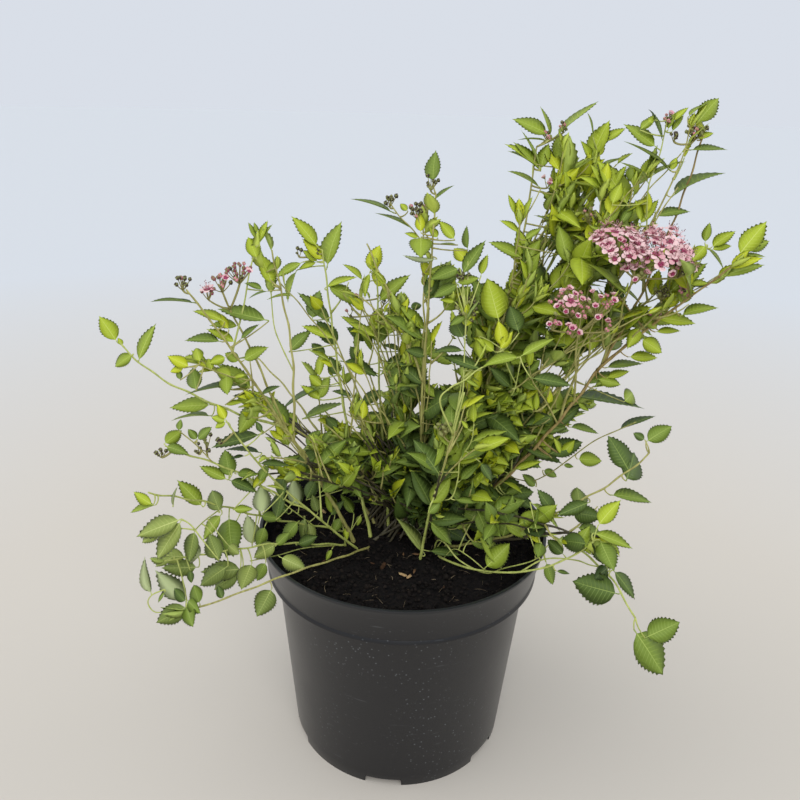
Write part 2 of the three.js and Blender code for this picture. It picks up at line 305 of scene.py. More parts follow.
SUNS = [
    # name, where from, strength, spread (degrees)
    ("key", (-0.4, -0.1, 0.9), 0.6, 60.0),
    ("front_fill", (0.1, -0.85, 0.62), 1.3, 50.0),
    ("left_sheen", (-1.0, 0.08, 0.3), 0.6, 40.0),
    ("right_sheen", (1.0, 0.25, 0.3), 0.5, 36.0),
]


def aimed(lamp, place, aim):
    """Stands a lamp at a place and turns it to what it lights."""
    lamp.location = place
    lamp.rotation_euler = (Vector(aim) - Vector(place)).to_track_quat("-Z", "Y").to_euler()
    bpy.context.scene.collection.objects.link(lamp)


world = bpy.data.worlds.new("pale_sky")
bpy.context.scene.world = world
world.use_nodes = True
world.node_tree.nodes["Background"].inputs["Color"].default_value = SKY
world.node_tree.nodes["Background"].inputs["Strength"].default_value = SKY_STRENGTH
bpy.context.scene.view_settings.view_transform = "Standard"

for name, way, strength, spread in SUNS:
    sun = bpy.data.lights.new(name, "SUN")
    sun.energy, sun.angle = strength, math.radians(spread)
    aimed(bpy.data.objects.new(name, sun), tuple(LAMP_DISTANCE * part for part in way), (0, 0, 0))
print("stage: floor", FLOOR_REACH, "m, lamps", len(SUNS))

# %% [markdown]
# ## Pot
# The real pot is one thin shell of moulded plastic: a tapering body, a taller collar with a rolled
# lip, and notches in the foot that let water out. A shell turned round an axis can be spun from an
# outline or drawn up ring by ring. It is drawn up here, because a ring of edges that is extruded and
# resized keeps the wall closed and its rings true circles. The notches are cut with a boolean, and a
# bevel then rounds every edge, which is what makes the lip catch the light.

# %% Draw up a turned solid
def select_only(piece=None):
    """Deselects everything, then selects one piece and makes it active."""
    bpy.ops.object.select_all(action="DESELECT")
    if piece:
        piece.select_set(True)
        bpy.context.view_layer.objects.active = piece


def turned(name, outline, segments):
    """A solid of revolution, closed at both ends, through an outline of (radius, height) in mm."""
    select_only()
    radius, height = outline[0]
    bpy.ops.mesh.primitive_circle_add(vertices=segments, radius=radius * MM, fill_type="NGON")
    piece = bpy.context.object
    piece.name = name
    bpy.ops.object.mode_set(mode="EDIT")
    bpy.ops.mesh.select_all(action="SELECT")
    bpy.ops.transform.translate(value=(0, 0, height * MM))
    bpy.ops.mesh.select_mode(type="EDGE")
    bpy.ops.mesh.select_all(action="SELECT")
    for next_radius, next_height in outline[1:]:
        bpy.ops.mesh.extrude_edges_move()
        bpy.ops.transform.translate(value=(0, 0, (next_height - height) * MM))
        share = next_radius / radius
        bpy.ops.transform.resize(value=(share, share, 1), center_override=(0, 0, next_height * MM))
        radius, height = next_radius, next_height
    bpy.ops.mesh.edge_face_add()
    bpy.ops.mesh.select_all(action="SELECT")
    bpy.ops.mesh.normals_make_consistent(inside=False)
    bpy.ops.object.mode_set(mode="OBJECT")
    return piece


def apply_modifier(piece, name, kind, **settings):
    """Adds a modifier, sets it and applies it."""
    modifier = piece.modifiers.new(name, kind)
    for setting, value in settings.items():
        setattr(modifier, setting, value)
    select_only(piece)
    bpy.ops.object.modifier_apply(modifier=modifier.name)


# %% Pot shell
POT_HEIGHT, COLLAR_HEIGHT = 157.0, 27.0
RIM_RADIUS, COLLAR_FOOT_RADIUS = 95.0, 89.6
BODY_TOP_RADIUS, BASE_RADIUS = 84.2, 73.5
WALL, FLOOR_THICKNESS = 2.0, 2.4
LIP_BEAD, COLLAR_BEAD = 1.2, 0.8
FOOT_BAND = 9.0
POT_SEGMENTS = 128
EDGE_ROUNDING, CORNER_ROUNDING = 0.55, 1.5
ROUNDED_ABOVE, SMOOTHED_BELOW = 32, 35      # degrees between two faces
COLLAR_FOOT = POT_HEIGHT - COLLAR_HEIGHT


def body_radius(height):
    """Outer radius of the tapering body."""
    return mix(BASE_RADIUS, BODY_TOP_RADIUS, height / COLLAR_FOOT)


POT_OUTLINE = [
    (BASE_RADIUS, 0.0),
    (body_radius(FOOT_BAND), FOOT_BAND),
    (BODY_TOP_RADIUS, COLLAR_FOOT),
    (COLLAR_FOOT_RADIUS + COLLAR_BEAD, COLLAR_FOOT),
    (COLLAR_FOOT_RADIUS + COLLAR_BEAD, COLLAR_FOOT + COLLAR_BEAD),
    (COLLAR_FOOT_RADIUS, COLLAR_FOOT + 3 * COLLAR_BEAD),
    (RIM_RADIUS - LIP_BEAD / 2, POT_HEIGHT - 2 * LIP_BEAD),
    (RIM_RADIUS, POT_HEIGHT - LIP_BEAD),
    (RIM_RADIUS, POT_HEIGHT),
    (RIM_RADIUS - WALL, POT_HEIGHT),
    (COLLAR_FOOT_RADIUS - WALL, COLLAR_FOOT + WALL),
    (BODY_TOP_RADIUS - WALL, COLLAR_FOOT + WALL),
    (body_radius(FLOOR_THICKNESS) - WALL, FLOOR_THICKNESS),
]
pot = turned("pot_shell", POT_OUTLINE, POT_SEGMENTS)
print("pot shell:", len(pot.data.polygons), "faces")

# %% Drainage notches
NOTCHES, NOTCH_WIDTH, NOTCH_HEIGHT, NOTCH_DEPTH = 6, 24.0, 5.0, 9.0
FIRST_NOTCH_AZIMUTH = -96.0

for number in range(NOTCHES):
    azimuth = math.radians(FIRST_NOTCH_AZIMUTH + number * 360 / NOTCHES)
    select_only()
    middle = (BASE_RADIUS * MM * math.cos(azimuth), BASE_RADIUS * MM * math.sin(azimuth), 0)
    bpy.ops.mesh.primitive_cube_add(size=1, location=middle, rotation=(0, 0, azimuth))
    cutter = bpy.context.object
    cutter.scale = (2 * NOTCH_DEPTH * MM, NOTCH_WIDTH * MM, 2 * NOTCH_HEIGHT * MM)
    bpy.ops.object.transform_apply(location=True, rotation=True, scale=True)
    apply_modifier(cutter, "soft_corners", "BEVEL", width=CORNER_ROUNDING * MM, segments=3)
    apply_modifier(pot, "notch", "BOOLEAN", object=cutter, operation="DIFFERENCE", solver="EXACT")
    bpy.data.objects.remove(cutter, do_unlink=True)

apply_modifier(pot, "moulded_edges", "BEVEL", width=EDGE_ROUNDING * MM, segments=3, limit_method="ANGLE",
               angle_limit=math.radians(ROUNDED_ABOVE))
select_only(pot)
bpy.ops.object.shade_smooth_by_angle(angle=math.radians(SMOOTHED_BELOW))
print("pot with notches:", len(pot.data.polygons), "faces")

# %% [markdown]
# ## Pot plastic
# Black polypropylene is a satin, not a gloss: the mould leaves it faintly rough, handling polishes
# it in places, and water and compost leave pale dust specks and level scuffs. The colour is one dark
# grey with specks picked out of a fine cell pattern, and the roughness wanders a little. A thin
# paler line along the collar's foot and along the lip is a painted highlight, where those edges
# catch the light.

# %% Pot plastic
SPECKS, SPECK_SIZE = 300.0, 0.2             # to the metre, and as a share of their spacing
PATCHES, SCUFFS, SKIN_GRAIN = 17.0, 60.0, 900.0
# the pale grey is the colour of the dust specks and scuffs, and of the painted highlight lines on the edges
BLACK_PLASTIC, DUST_AND_HIGHLIGHT_GREY = (0.006, 0.006, 0.0075, 1), (0.14, 0.15, 0.155, 1)
# the last two say how pale the painted highlight lines along the collar's foot and the lip are
SCUFFED, HIGHLIT_FOOT_LINE, HIGHLIT_LIP_LINE = 0.35, 0.8, 0.3
POLISHED, FAINTLY_ROUGH = 0.24, 0.38


def pot_plastic():
    """Satin black plastic with dust specks, faint scuffs and a painted highlight along the collar's foot and
    the lip.
    """
    material, nodes, links, shader = new_material("pot_plastic_black", 0.4)
    shader.inputs["Specular IOR Level"].default_value = 0.42
    place = nodes.new("ShaderNodeTexCoord")
    cells = nodes.new("ShaderNodeTexVoronoi")
    cells.inputs["Scale"].default_value = SPECKS
    links.new(place.outputs["Object"], cells.inputs["Vector"])
    speck = ramp_node(nodes, links, cells.outputs["Distance"], [(0.0, grey(1)), (SPECK_SIZE, grey(0))])
    patches = noise_node(nodes, links, PATCHES, 5.0)
    patchy = ramp_node(nodes, links, patches, [(0.44, grey(0)), (0.62, grey(1))])
    scuffs = noise_node(nodes, links, SCUFFS, 6.0, stretch=(1, 1, 9))
    scuffed = ramp_node(nodes, links, scuffs, [(0.66, grey(0)), (0.8, grey(SCUFFED))])
    height = nodes.new("ShaderNodeSeparateXYZ")
    links.new(place.outputs["Object"], height.inputs["Vector"])
    foot, lip = COLLAR_FOOT * MM, POT_HEIGHT * MM
    # painted highlight: a thin paler band round the collar's foot and the lip, where those edges catch the
    # light
    painted_edge_highlight = ramp_node(nodes, links, height.outputs["Z"], [
        (foot - 0.5 * MM, grey(0)), (foot - 0.2 * MM, grey(HIGHLIT_FOOT_LINE)),
        (foot + 0.7 * MM, grey(HIGHLIT_FOOT_LINE)), (foot + 1.2 * MM, grey(0)),
        (lip - 0.8 * MM, grey(0)), (lip - 0.3 * MM, grey(HIGHLIT_LIP_LINE))])
    # dust specks and scuffs, with the painted highlight lines laid over them
    marks_and_painted_highlight = math_node(nodes, links, "MAXIMUM", math_node(nodes, links, "MULTIPLY", speck, patchy), scuffed)
    marks_and_painted_highlight = math_node(nodes, links, "MAXIMUM", marks_and_painted_highlight, painted_edge_highlight)
    colour = ramp_node(nodes, links, marks_and_painted_highlight, [(0.0, BLACK_PLASTIC), (1.0, DUST_AND_HIGHLIGHT_GREY)])
    links.new(colour, shader.inputs["Base Color"])
    worn = range_node(nodes, links, patches, given=(POLISHED, FAINTLY_ROUGH))
    links.new(worn, shader.inputs["Roughness"])
    bump_node(nodes, links, shader, noise_node(nodes, links, SKIN_GRAIN, 2.0), 0.12, 0.2 * MM)
    return material


pot.data.materials.clear()
pot.data.materials.append(pot_plastic())
placed(pot, ["pot"])

# %% [markdown]
# ## Compost
# Potting compost is a dark, crumbly mix of peat and bark. Its top lies just under the lip, is never
# flat, and is littered with crumbs, pale chips of bark and stray fibres. The plug that fills the pot
# is drawn up like the pot, its top is inset ring by ring to get faces that can move, and a cloud
# pattern displaces them. The litter is a heap of small lumps, shards and strands.

# %% Compost plug
SOIL_TOP, EDGE_DIP = 144.0, 1.5
SOIL_GAP, SEAM = 0.6, 0.3
SOIL_SEGMENTS, TOP_RINGS = 96, 22
STILL_EDGE = 2.0
SURFACE_CLOUDS = [
    # name, grain (m), height (mm)
    ("clods", 0.014, 3.4),
    ("crumb", 0.0035, 2.2),
]
collar_share = (SOIL_TOP - COLLAR_FOOT - WALL) / (COLLAR_HEIGHT - WALL)
SOIL_RADIUS = mix(COLLAR_FOOT_RADIUS, RIM_RADIUS, collar_share) - WALL - SOIL_GAP

compost = turned("compost", [
    (body_radius(FLOOR_THICKNESS) - WALL - SOIL_GAP, FLOOR_THICKNESS + SEAM),
    (BODY_TOP_RADIUS - WALL - SOIL_GAP, COLLAR_FOOT + WALL),
    (COLLAR_FOOT_RADIUS - WALL - SOIL_GAP, COLLAR_FOOT + WALL + SEAM),
    (SOIL_RADIUS, SOIL_TOP - EDGE_DIP),
], SOIL_SEGMENTS)
bpy.ops.object.mode_set(mode="EDIT")
bpy.ops.mesh.select_mode(type="FACE")
bpy.ops.mesh.select_all(action="DESELECT")
bpy.ops.object.mode_set(mode="OBJECT")
caps = [face for face in compost.data.polygons if len(face.vertices) > 4]
top_face = max(caps, key=lambda face: face.center.z)
top_face.select = True
bpy.ops.object.mode_set(mode="EDIT")
for ring in range(TOP_RINGS):
    bpy.ops.mesh.inset(thickness=SOIL_RADIUS * MM / (TOP_RINGS + 1), depth=0)
bpy.ops.mesh.poke()
bpy.ops.object.mode_set(mode="OBJECT")
movable = compost.vertex_groups.new(name="top")
inner_top = [v.index for v in compost.data.vertices if v.co.z > (SOIL_TOP - STILL_EDGE) * MM
             and math.hypot(v.co.x, v.co.y) < (SOIL_RADIUS - STILL_EDGE) * MM]
movable.add(inner_top, 1.0, "REPLACE")
apply_modifier(compost, "finer", "SUBSURF", subdivision_type="SIMPLE", levels=1, render_levels=1)
for name, grain, height in SURFACE_CLOUDS:
    clouds = bpy.data.textures.new(name, "CLOUDS")
    clouds.noise_scale = grain
    apply_modifier(compost, name, "DISPLACE", texture=clouds, texture_coords="LOCAL", direction="Z",
                   strength=height * MM, mid_level=0.45, vertex_group="top")
select_only(compost)
bpy.ops.object.shade_smooth()
print("compost:", len(compost.data.polygons), "faces, top at", SOIL_TOP, "mm")

# %% Compost finish
def compost_finish(name, dark, pale, scale, bump_depth):
    """Dry, dull plant matter, mottled between a dark and a pale colour."""
    material, nodes, links, shader = new_material(name, 0.95)
    shader.inputs["Specular IOR Level"].default_value = 0.2
    mottle = noise_node(nodes, links, scale, 8.0)
    links.new(ramp_node(nodes, links, mottle, [(0.35, dark), (0.7, pale)]), shader.inputs["Base Color"])
    bump_node(nodes, links, shader, mottle, 0.8, bump_depth)
    return material


compost.data.materials.clear()
compost.data.materials.append(compost_finish("compost_peat", linear(8, 7, 8), linear(32, 27, 25),
                                             420.0, 0.0012))
placed(compost, ["soil"])

# %% Litter on the compost
LITTER_SEED = 41
CRUMBS, CHIPS, FIBRES = 1900, 30, 120
SMALL_CRUMBS, LARGE_CRUMBS, SMALL_SHARE = (0.5, 1.5), (1.5, 2.6), 0.93
CHIP_SIZES, CHIP_SHAPE = (0.8, 2.4), np.array([1.5, 0.6, 0.25])
CHIP_COLOURS = {"pale": ((150, 120, 84), (196, 168, 124)), "brown": ((78, 58, 40), (118, 90, 64)),
                "dark": ((48, 34, 24), (80, 58, 40))}
LITTER_CLEAR = 3
dice = random.Random(LITTER_SEED)


def lump(dice, size):
    """An uneven pebble of twenty faces."""
    golden = (1 + 5 ** 0.5) / 2
    corners = np.array([(-1, golden, 0), (1, golden, 0), (-1, -golden, 0), (1, -golden, 0),
                        (0, -1, golden), (0, 1, golden), (0, -1, -golden), (0, 1, -golden),
                        (golden, 0, -1), (golden, 0, 1), (-golden, 0, -1), (-golden, 0, 1)])
    corners = corners / np.linalg.norm(corners[0]) * size
    return corners * np.array([[dice.uniform(0.75, 1.25)] for unused in corners])


LUMP_FACES = [(0, 11, 5), (0, 5, 1), (0, 1, 7), (0, 7, 10), (0, 10, 11), (1, 5, 9), (5, 11, 4),
              (11, 10, 2), (10, 7, 6), (7, 1, 8), (3, 9, 4), (3, 4, 2), (3, 2, 6), (3, 6, 8),
              (3, 8, 9), (4, 9, 5), (2, 4, 11), (6, 2, 10), (8, 6, 7), (9, 8, 1)]


def litter_place(dice, height):
    """A place strewn evenly over the compost."""
    reach = (SOIL_RADIUS - LITTER_CLEAR) * math.sqrt(dice.random())
    return polar(dice.uniform(0, 360), reach, SOIL_TOP + height)


crumbs = Heap()
for number in range(CRUMBS):
    size = dice.uniform(*(SMALL_CRUMBS if dice.random() < SMALL_SHARE else LARGE_CRUMBS))
    squash = np.array([1, 1, dice.uniform(0.5, 0.8)])
    crumbs.add(lump(dice, size) * squash + litter_place(dice, dice.uniform(-0.8, 0.5)), LUMP_FACES)
crumbs.piece("compost_crumbs", "compost", [
    compost_finish("compost_crumb", linear(10, 8, 8), linear(40, 34, 30), 300.0, 0.0006)], [])

chips = Heap()
for number in range(CHIPS):
    size = dice.uniform(*CHIP_SIZES)
    turned_by = Matrix.Rotation(dice.uniform(0, math.tau), 3, "Z") @ Matrix.Rotation(
        dice.uniform(-0.5, 0.5), 3, "X")
    shard = lump(dice, size) * CHIP_SHAPE
    chips.add(shard @ np.array(turned_by) + litter_place(dice, dice.uniform(0.6, 1.8)), LUMP_FACES,
              number % len(CHIP_COLOURS))
chips.piece("bark_chips", "compost", [
    compost_finish(f"bark_chip_{name}", linear(*dark), linear(*pale), 500.0, 0.0004)
    for name, (dark, pale) in CHIP_COLOURS.items()], [])

# %% [markdown]
# ## Round limbs
# Stems, twigs, leaf stalks, fibres and flower stalks are all thin tubes along a path. A curve with a
# round bevel would do, but a mesh tube can swell at the nodes and carry the bark's ribs. The ring is
# carried along the path without turning round it, so the ribs run straight up the stem.

# %% Paths and tubes
HALF_SPAN = 1.5


class Path:
    """A centre line through points in millimetres, walked by distance."""

    def __init__(self, points):
        self.points = np.array(points, float)
        steps = np.linalg.norm(np.diff(self.points, axis=0), axis=1)
        self.travel = np.concatenate([[0.0], np.cumsum(steps)])
        self.length = float(self.travel[-1])

    def at(self, distance):
        """The place at a distance from the foot."""
        return np.array([np.interp(distance, self.travel, self.points[:, axis]) for axis in range(3)])

    def way(self, distance):
        """The direction of growth there."""
        before, after = max(distance - HALF_SPAN, 0.0), min(distance + HALF_SPAN, self.length)
        return unit(self.at(after) - self.at(before))


def tube(points, radii, sides):
    """Corners and faces of a closed tube; radii is one radius a ring, or one for each side of it."""
    points = np.asarray(points, float)
    ways = np.gradient(points, axis=0)
    across = np.array([0.28, 0.91, 0.31])       # no limb runs this way
    angles = np.arange(sides) * math.tau / sides
    radii = np.asarray(radii, float)
    radii = np.broadcast_to(radii[:, None] if radii.ndim == 1 else radii, (len(points), sides))
    rings = []
    for point, way, radius in zip(points, ways, radii):
        way = unit(way)
        across = square_to(way, across)
        over = np.cross(way, across)
        rings.append(point + np.outer(radius * np.cos(angles), across)
                     + np.outer(radius * np.sin(angles), over))
    faces = []
    for ring in range(len(points) - 1):
        for side in range(sides):
            a, b = ring * sides + side, ring * sides + (side + 1) % sides
            faces.append((a, b, b + sides, a + sides))
    last = (len(points) - 1) * sides
    faces.append(tuple(range(sides - 1, -1, -1)))
    faces.append(tuple(range(last, last + sides)))
    return np.concatenate(rings), faces


def bow_point(start, control, end, share):
    """The place at a share of a quadratic curve."""
    return (1 - share) ** 2 * start + 2 * share * (1 - share) * control + share ** 2 * end


def bend(start, control, end, steps):
    """Points of a quadratic curve."""
    return bow_point(start, control, end, np.linspace(0, 1, steps + 1)[:, None])


fibres = Heap()
for number in range(FIBRES):
    start = litter_place(dice, dice.uniform(-0.5, 1.0))
    heading = polar(dice.uniform(0, 360), dice.uniform(2, 9), 0)
    end = start + heading + UP * dice.uniform(-1, 1.5)
    lifted = (start + end) / 2 + polar(dice.uniform(0, 360), 0.9, dice.uniform(0.2, 1.4))
    corners, faces = tube(bend(start, lifted, end, 5), dice.uniform(0.08, 0.2), 3)
    if max(math.hypot(x, y) for x, y, z in corners) < SOIL_RADIUS:
        fibres.add(corners, faces)
fibres.piece("compost_fibres", "compost", [
    compost_finish("fibre", linear(60, 50, 40), linear(158, 140, 112), 300.0, 0.0002)], [])

# %% [markdown]
# ## Stems and boughs
# Every shoot of the frame is repeated here by the same rule: a foot, a tip and a bow. The real stem
# is not a clean curve. It kinks a little at each leaf and wanders between, swells at its nodes, and
# is finely ribbed. The bark is olive brown on old wood and pale yellow green on this year's growth.

# %% Shoots of the frame
SHOOTS = {
    # name: foot (x, y) or (carrier, share of it), azimuth, reach, rise, bow, sway, radius, bark
    "left_flower": ((-33, -5), 208, 130, 184, 4, 0, 1.9, "tan"),
    "left_leaf": ((-22, 2), 152, 66, 208, -4, 0, 1.6, "fresh"),
    "yellow_tip": ((-10, 12), 114, 62, 192, 0, 0, 1.5, "fresh"),
    "centre": ((15, 2), -40, 17, 254, 0, 4, 1.7, "tan"),
    "rosette": ((25, 12), 20, 68, 228, -10, 0, 1.7, "tan"),
    "top_right": ((24, 3), 6, 165, 282, -30, 2, 2.1, "russet"),
    "right_low": ((28, -8), -28, 157, 118, -12, 10, 1.3, "tan"),
    "over_rim": ((21, -16), -40, 142, 68, -16, 8, 1.2, "fresh"),
    "front": ((12, -22), -50, 53, 134, -2, 5, 1.3, "fresh"),
    "left_mid": ((-30, -14), 216, 122, 120, -5, 0, 1.2, "fresh"),
    "left_low": ((-36, 5), 215, 174, 88, -4, 16, 1.1, "fresh"),
    "left_hanging": ((-38, -10), 215, 178, 42, 4, 0, 1.0, "fresh"),
    "left_lowest": ((-22, -12), 220, 176, 14, 12, -16, 1.0, "tan"),
    "back_left": ((-20, 18), 143, 156, 106, 8, 0, 1.6, "tan"),
    "back": ((0, 24), 98, 158, 98, 10, 0, 1.6, "tan"),
    "back_right": ((16, 24), 56, 165, 112, 8, 0, 1.6, "tan"),
    "right_back": ((32, 16), 22, 148, 100, 6, 0, 1.6, "tan"),
    "far_left": (("left_flower", 0.5), 185, 183, 152, -12, 0, 1.2, "fresh"),
    "upper_left": (("left_flower", 0.44), 190, 84, 216, 6, 0, 1.2, "tan"),
    "centre_left": (("centre", 0.46), 149, 50, 220, 2, 0, 1.2, "tan"),
    "right_top": (("rosette", 0.56), 34, 92, 276, -4, 0, 1.3, "tan"),
    "right_crest": (("rosette", 0.5), 27, 138, 272, -6, 0, 1.3, "fresh"),
    "far_right": (("top_right", 0.48), -10, 191, 216, 0, 0, 1.5, "russet"),
    "right_droop": (("right_low", 0.4), -41, 183, -3, 24, 0, 1.1, "fresh"),
    "left_side": (("left_mid", 0.36), 208, 152, 102, 2, 0, 1.1, "fresh"),
    "blossom_main": (("top_right", 0.5), -7, 129, 201, 0, 0, 1.3, "tan"),
    "blossom_small": (("top_right", 0.4), -15, 99, 169, 0, 0, 1.1, "tan"),
    "blossom_left": (("left_flower", 0.48), 205, 112, 184, 0, 0, 1.1, "tan"),
}
FOOT_DEPTH = 3.0
STEP = 2.5
NODE_SPACING = 12.0
STEM_SWING, BOUGH_SWING, COMPANION_SWING = 1.8, 1.6, 1.2
KINK, KINKS_BEYOND = 0.45, 0.2
FORK_FADE = 0.12
LEAF_BEYOND = {
    # how far the leaf at the tip reaches past the bare stem (mm)
    "right_droop": 32, "right_low": 14, "far_left": 16, "far_right": 24, "top_right": 20,
    "right_crest": 26, "right_top": 24, "rosette": 20, "centre": 24, "left_leaf": 20, "yellow_tip": 22,
    "upper_left": 20, "centre_left": 30, "left_low": 16, "left_hanging": 20, "left_lowest": 18,
    "left_flower": 0, "blossom_main": 0, "blossom_small": 0, "blossom_left": 0,
}
LEAF_BEYOND_ELSE = 8.0


def wandering(points, dice, swing):
    """Lets a path wander off its line, most in the middle, with a slight kink at each node."""
    path = Path(points)
    count = max(4, int(path.length / STEP))
    phases = [dice.uniform(0, math.tau) for unused in range(4)]
    middle_way = path.way(path.length / 2)
    aside = square_to(middle_way, np.array([dice.gauss(0, 1) for unused in range(3)]))
    over = np.cross(middle_way, aside)
    result = []
    for distance in np.linspace(0, path.length, count + 1):
        share = distance / path.length
        slack = swing * math.sin(math.pi * share) ** 0.7
        kink = KINK * math.sin(math.pi * distance / NODE_SPACING + phases[3]) * (slack > KINKS_BEYOND)
        # slow waves, out of step with one another
        drift = math.sin(5.1 * share + phases[0]) * 0.6 + math.sin(11.0 * share + phases[1]) * 0.3
        lift = math.sin(6.3 * share + phases[2]) * 0.6
        result.append(path.at(distance) + aside * (slack * drift + kink) + over * slack * lift)
    return Path(result)


def is_forked(start):
    """True for a shoot that forks from another, False for one that comes out of the compost."""
    return isinstance(start[0], str)


paths, bows = {}, {}
for name, (start, azimuth, reach, rise, bow, sway, radius, bark) in SHOOTS.items():
    if is_forked(start):
        carrier, share = start
        foot = bow_point(*bows[carrier], share)
    else:
        foot = np.array([*start, SOIL_TOP])
    tip = polar(azimuth, reach, SOIL_TOP + rise)
    chord = unit(tip - foot)
    above = square_to(chord, UP)
    control = (foot + tip) / 2 + above * 2 * bow + np.cross(chord, above) * 2 * sway
    bows[name] = (foot, control, tip)
    centre_line = [bow_point(foot, control, tip, share) for share in np.linspace(0, 1, 60)]
    path = wandering(centre_line, random.Random("shoot " + name),
                     BOUGH_SWING if is_forked(start) else STEM_SWING)
    if is_forked(start):
        # it starts on the wandered carrier, and joins its own line within an eighth of its length
        nearest = min(paths[carrier].points, key=lambda point: np.linalg.norm(point - foot))
        fade = np.clip(1 - np.linspace(0, 1, len(path.points)) / FORK_FADE, 0, 1)[:, None]
        path = Path(path.points + (nearest - path.points[0]) * fade)
    paths[name] = path
for name, path in paths.items():
    # the last leaf reaches on past the end of the bare stem
    bare_length = path.length - LEAF_BEYOND.get(name, LEAF_BEYOND_ELSE)
    paths[name] = Path(path.points[path.travel <= bare_length])
print("shoots:", len(paths), "with", round(sum(p.length for p in paths.values())), "mm of limb")

# %% Bark
BARKS = {
    # name: pale streaks, dark streaks
    "fresh": ((184, 190, 104), (146, 156, 74)),
    "tan": ((174, 170, 98), (130, 124, 66)),
    "russet": ((164, 144, 86), (118, 94, 54)),
    # old wood, made much darker also as painted shade for the stems in the crown's hollow
    "old": ((74, 68, 46), (44, 39, 27)),
}
BARK_GRAIN, ALONG_STEM = 620.0, 0.12


def bark_finish(name, pale, dark):
    """Thin bark: pale and dark streaks along the stem, in a soft grain."""
    material, nodes, links, shader = new_material("bark_" + name, 0.6)
    streaks = noise_node(nodes, links, BARK_GRAIN, 4.0, stretch=(1, 1, ALONG_STEM))
    links.new(ramp_node(nodes, links, streaks, [(0.3, linear(*dark)), (0.65, linear(*pale))]),
              shader.inputs["Base Color"])
    bump_node(nodes, links, shader, streaks, 0.5, 0.0003)
    return material


bark_materials = {name: bark_finish(name, *colours) for name, colours in BARKS.items()}


LIMB_SIDES, TWIG_SIDES = 10, 6
NODE_SWELL, SWELL_SPREAD = 0.22, 1.6
FOOT_FLARE, FLARE_HEIGHT = 0.3, 6.0
RIB_RELIEF, RIB_UNEVEN = 0.07, 0.04


def limb(path, foot_radius, tip_radius, sides, dice, flare=0.0):
    """A ribbed tube along a path, thinner towards the tip, with a swelling at each node."""
    shares = path.travel / path.length
    radii = mix(foot_radius, tip_radius, shares ** 0.8)
    nodes = (path.travel / NODE_SPACING) % 1.0
    from_node = np.minimum(nodes, 1 - nodes) * NODE_SPACING
    radii = radii * (1 + NODE_SWELL * np.exp(-((from_node / SWELL_SPREAD) ** 2)))
    radii = radii * (1 + flare * np.exp(-path.travel / FLARE_HEIGHT))
    uneven = [dice.uniform(-RIB_UNEVEN, RIB_UNEVEN) for unused in range(sides)]
    ribs = 1 + RIB_RELIEF * np.cos(np.arange(sides) * math.pi) + np.array(uneven)
    return tube(path.points, np.outer(radii, ribs), sides)


LIMB_GIRTH, LIMB_TIP = 0.68, 0.45
twigs = {bark: [] for bark in BARKS}
bark_of = {}
for name, (start, *unused, radius, bark) in SHOOTS.items():
    path, kind, flare = paths[name], "bough", 0.0
    bark_of[name] = bark
    if not is_forked(start):
        path = Path(np.vstack([path.points[0] - UP * FOOT_DEPTH, path.points]))
        kind, flare = "stem", FOOT_FLARE
    heap = Heap()
    heap.add(*limb(path, radius * LIMB_GIRTH, LIMB_TIP, LIMB_SIDES, random.Random("bark " + name), flare))
    heap.piece(f"bark_{name}", "stem_bark", [bark_materials[bark]], [f"{kind}_{name}"])

# %% [markdown]
# ## Leaves
# A spirea leaf is a small pointed oval, folded a little along its midrib, with saw teeth on its outer
# two thirds and veins that run out to them. Each is a closed, lens-thin body: an upper skin, a paler
# lower skin that shares its edge, a raised midrib, a vein to each tooth and a short stalk. The skin
# is a few dozen faces, and a handful of patterns with their own width, fold and curl make the rest.

# %% Leaf pattern
# every measure of a leaf is a share of its length
STALK, STALK_SIDES = 0.085, 3
RIB_HALF, RIB_RISE, KEEL_DROP = 0.011, 0.004, 0.012
VEIN_HALF, VEIN_RISE = 0.012, 0.006
WAVE = 0.006
TOOTHED_FROM, TOOTHED_SPAN = 0.12, 0.2
FAMILIES = {
    # half width, the two powers that place the widest part, fold, curl, depth and number of the teeth
    "lance": (0.185, 0.80, 1.25, 0.28, 0.14, 0.026, 10),
    "ovate": (0.240, 0.74, 1.22, 0.22, 0.11, 0.032, 10),
    "round": (0.300, 0.66, 1.02, 0.15, 0.07, 0.036, 11),
    "young": (0.200, 0.72, 1.15, 0.70, -0.10, 0.030, 6),
}
PATTERNS = 8
TOP, UNDER, RIB, VEIN = 0, 1, 2, 3


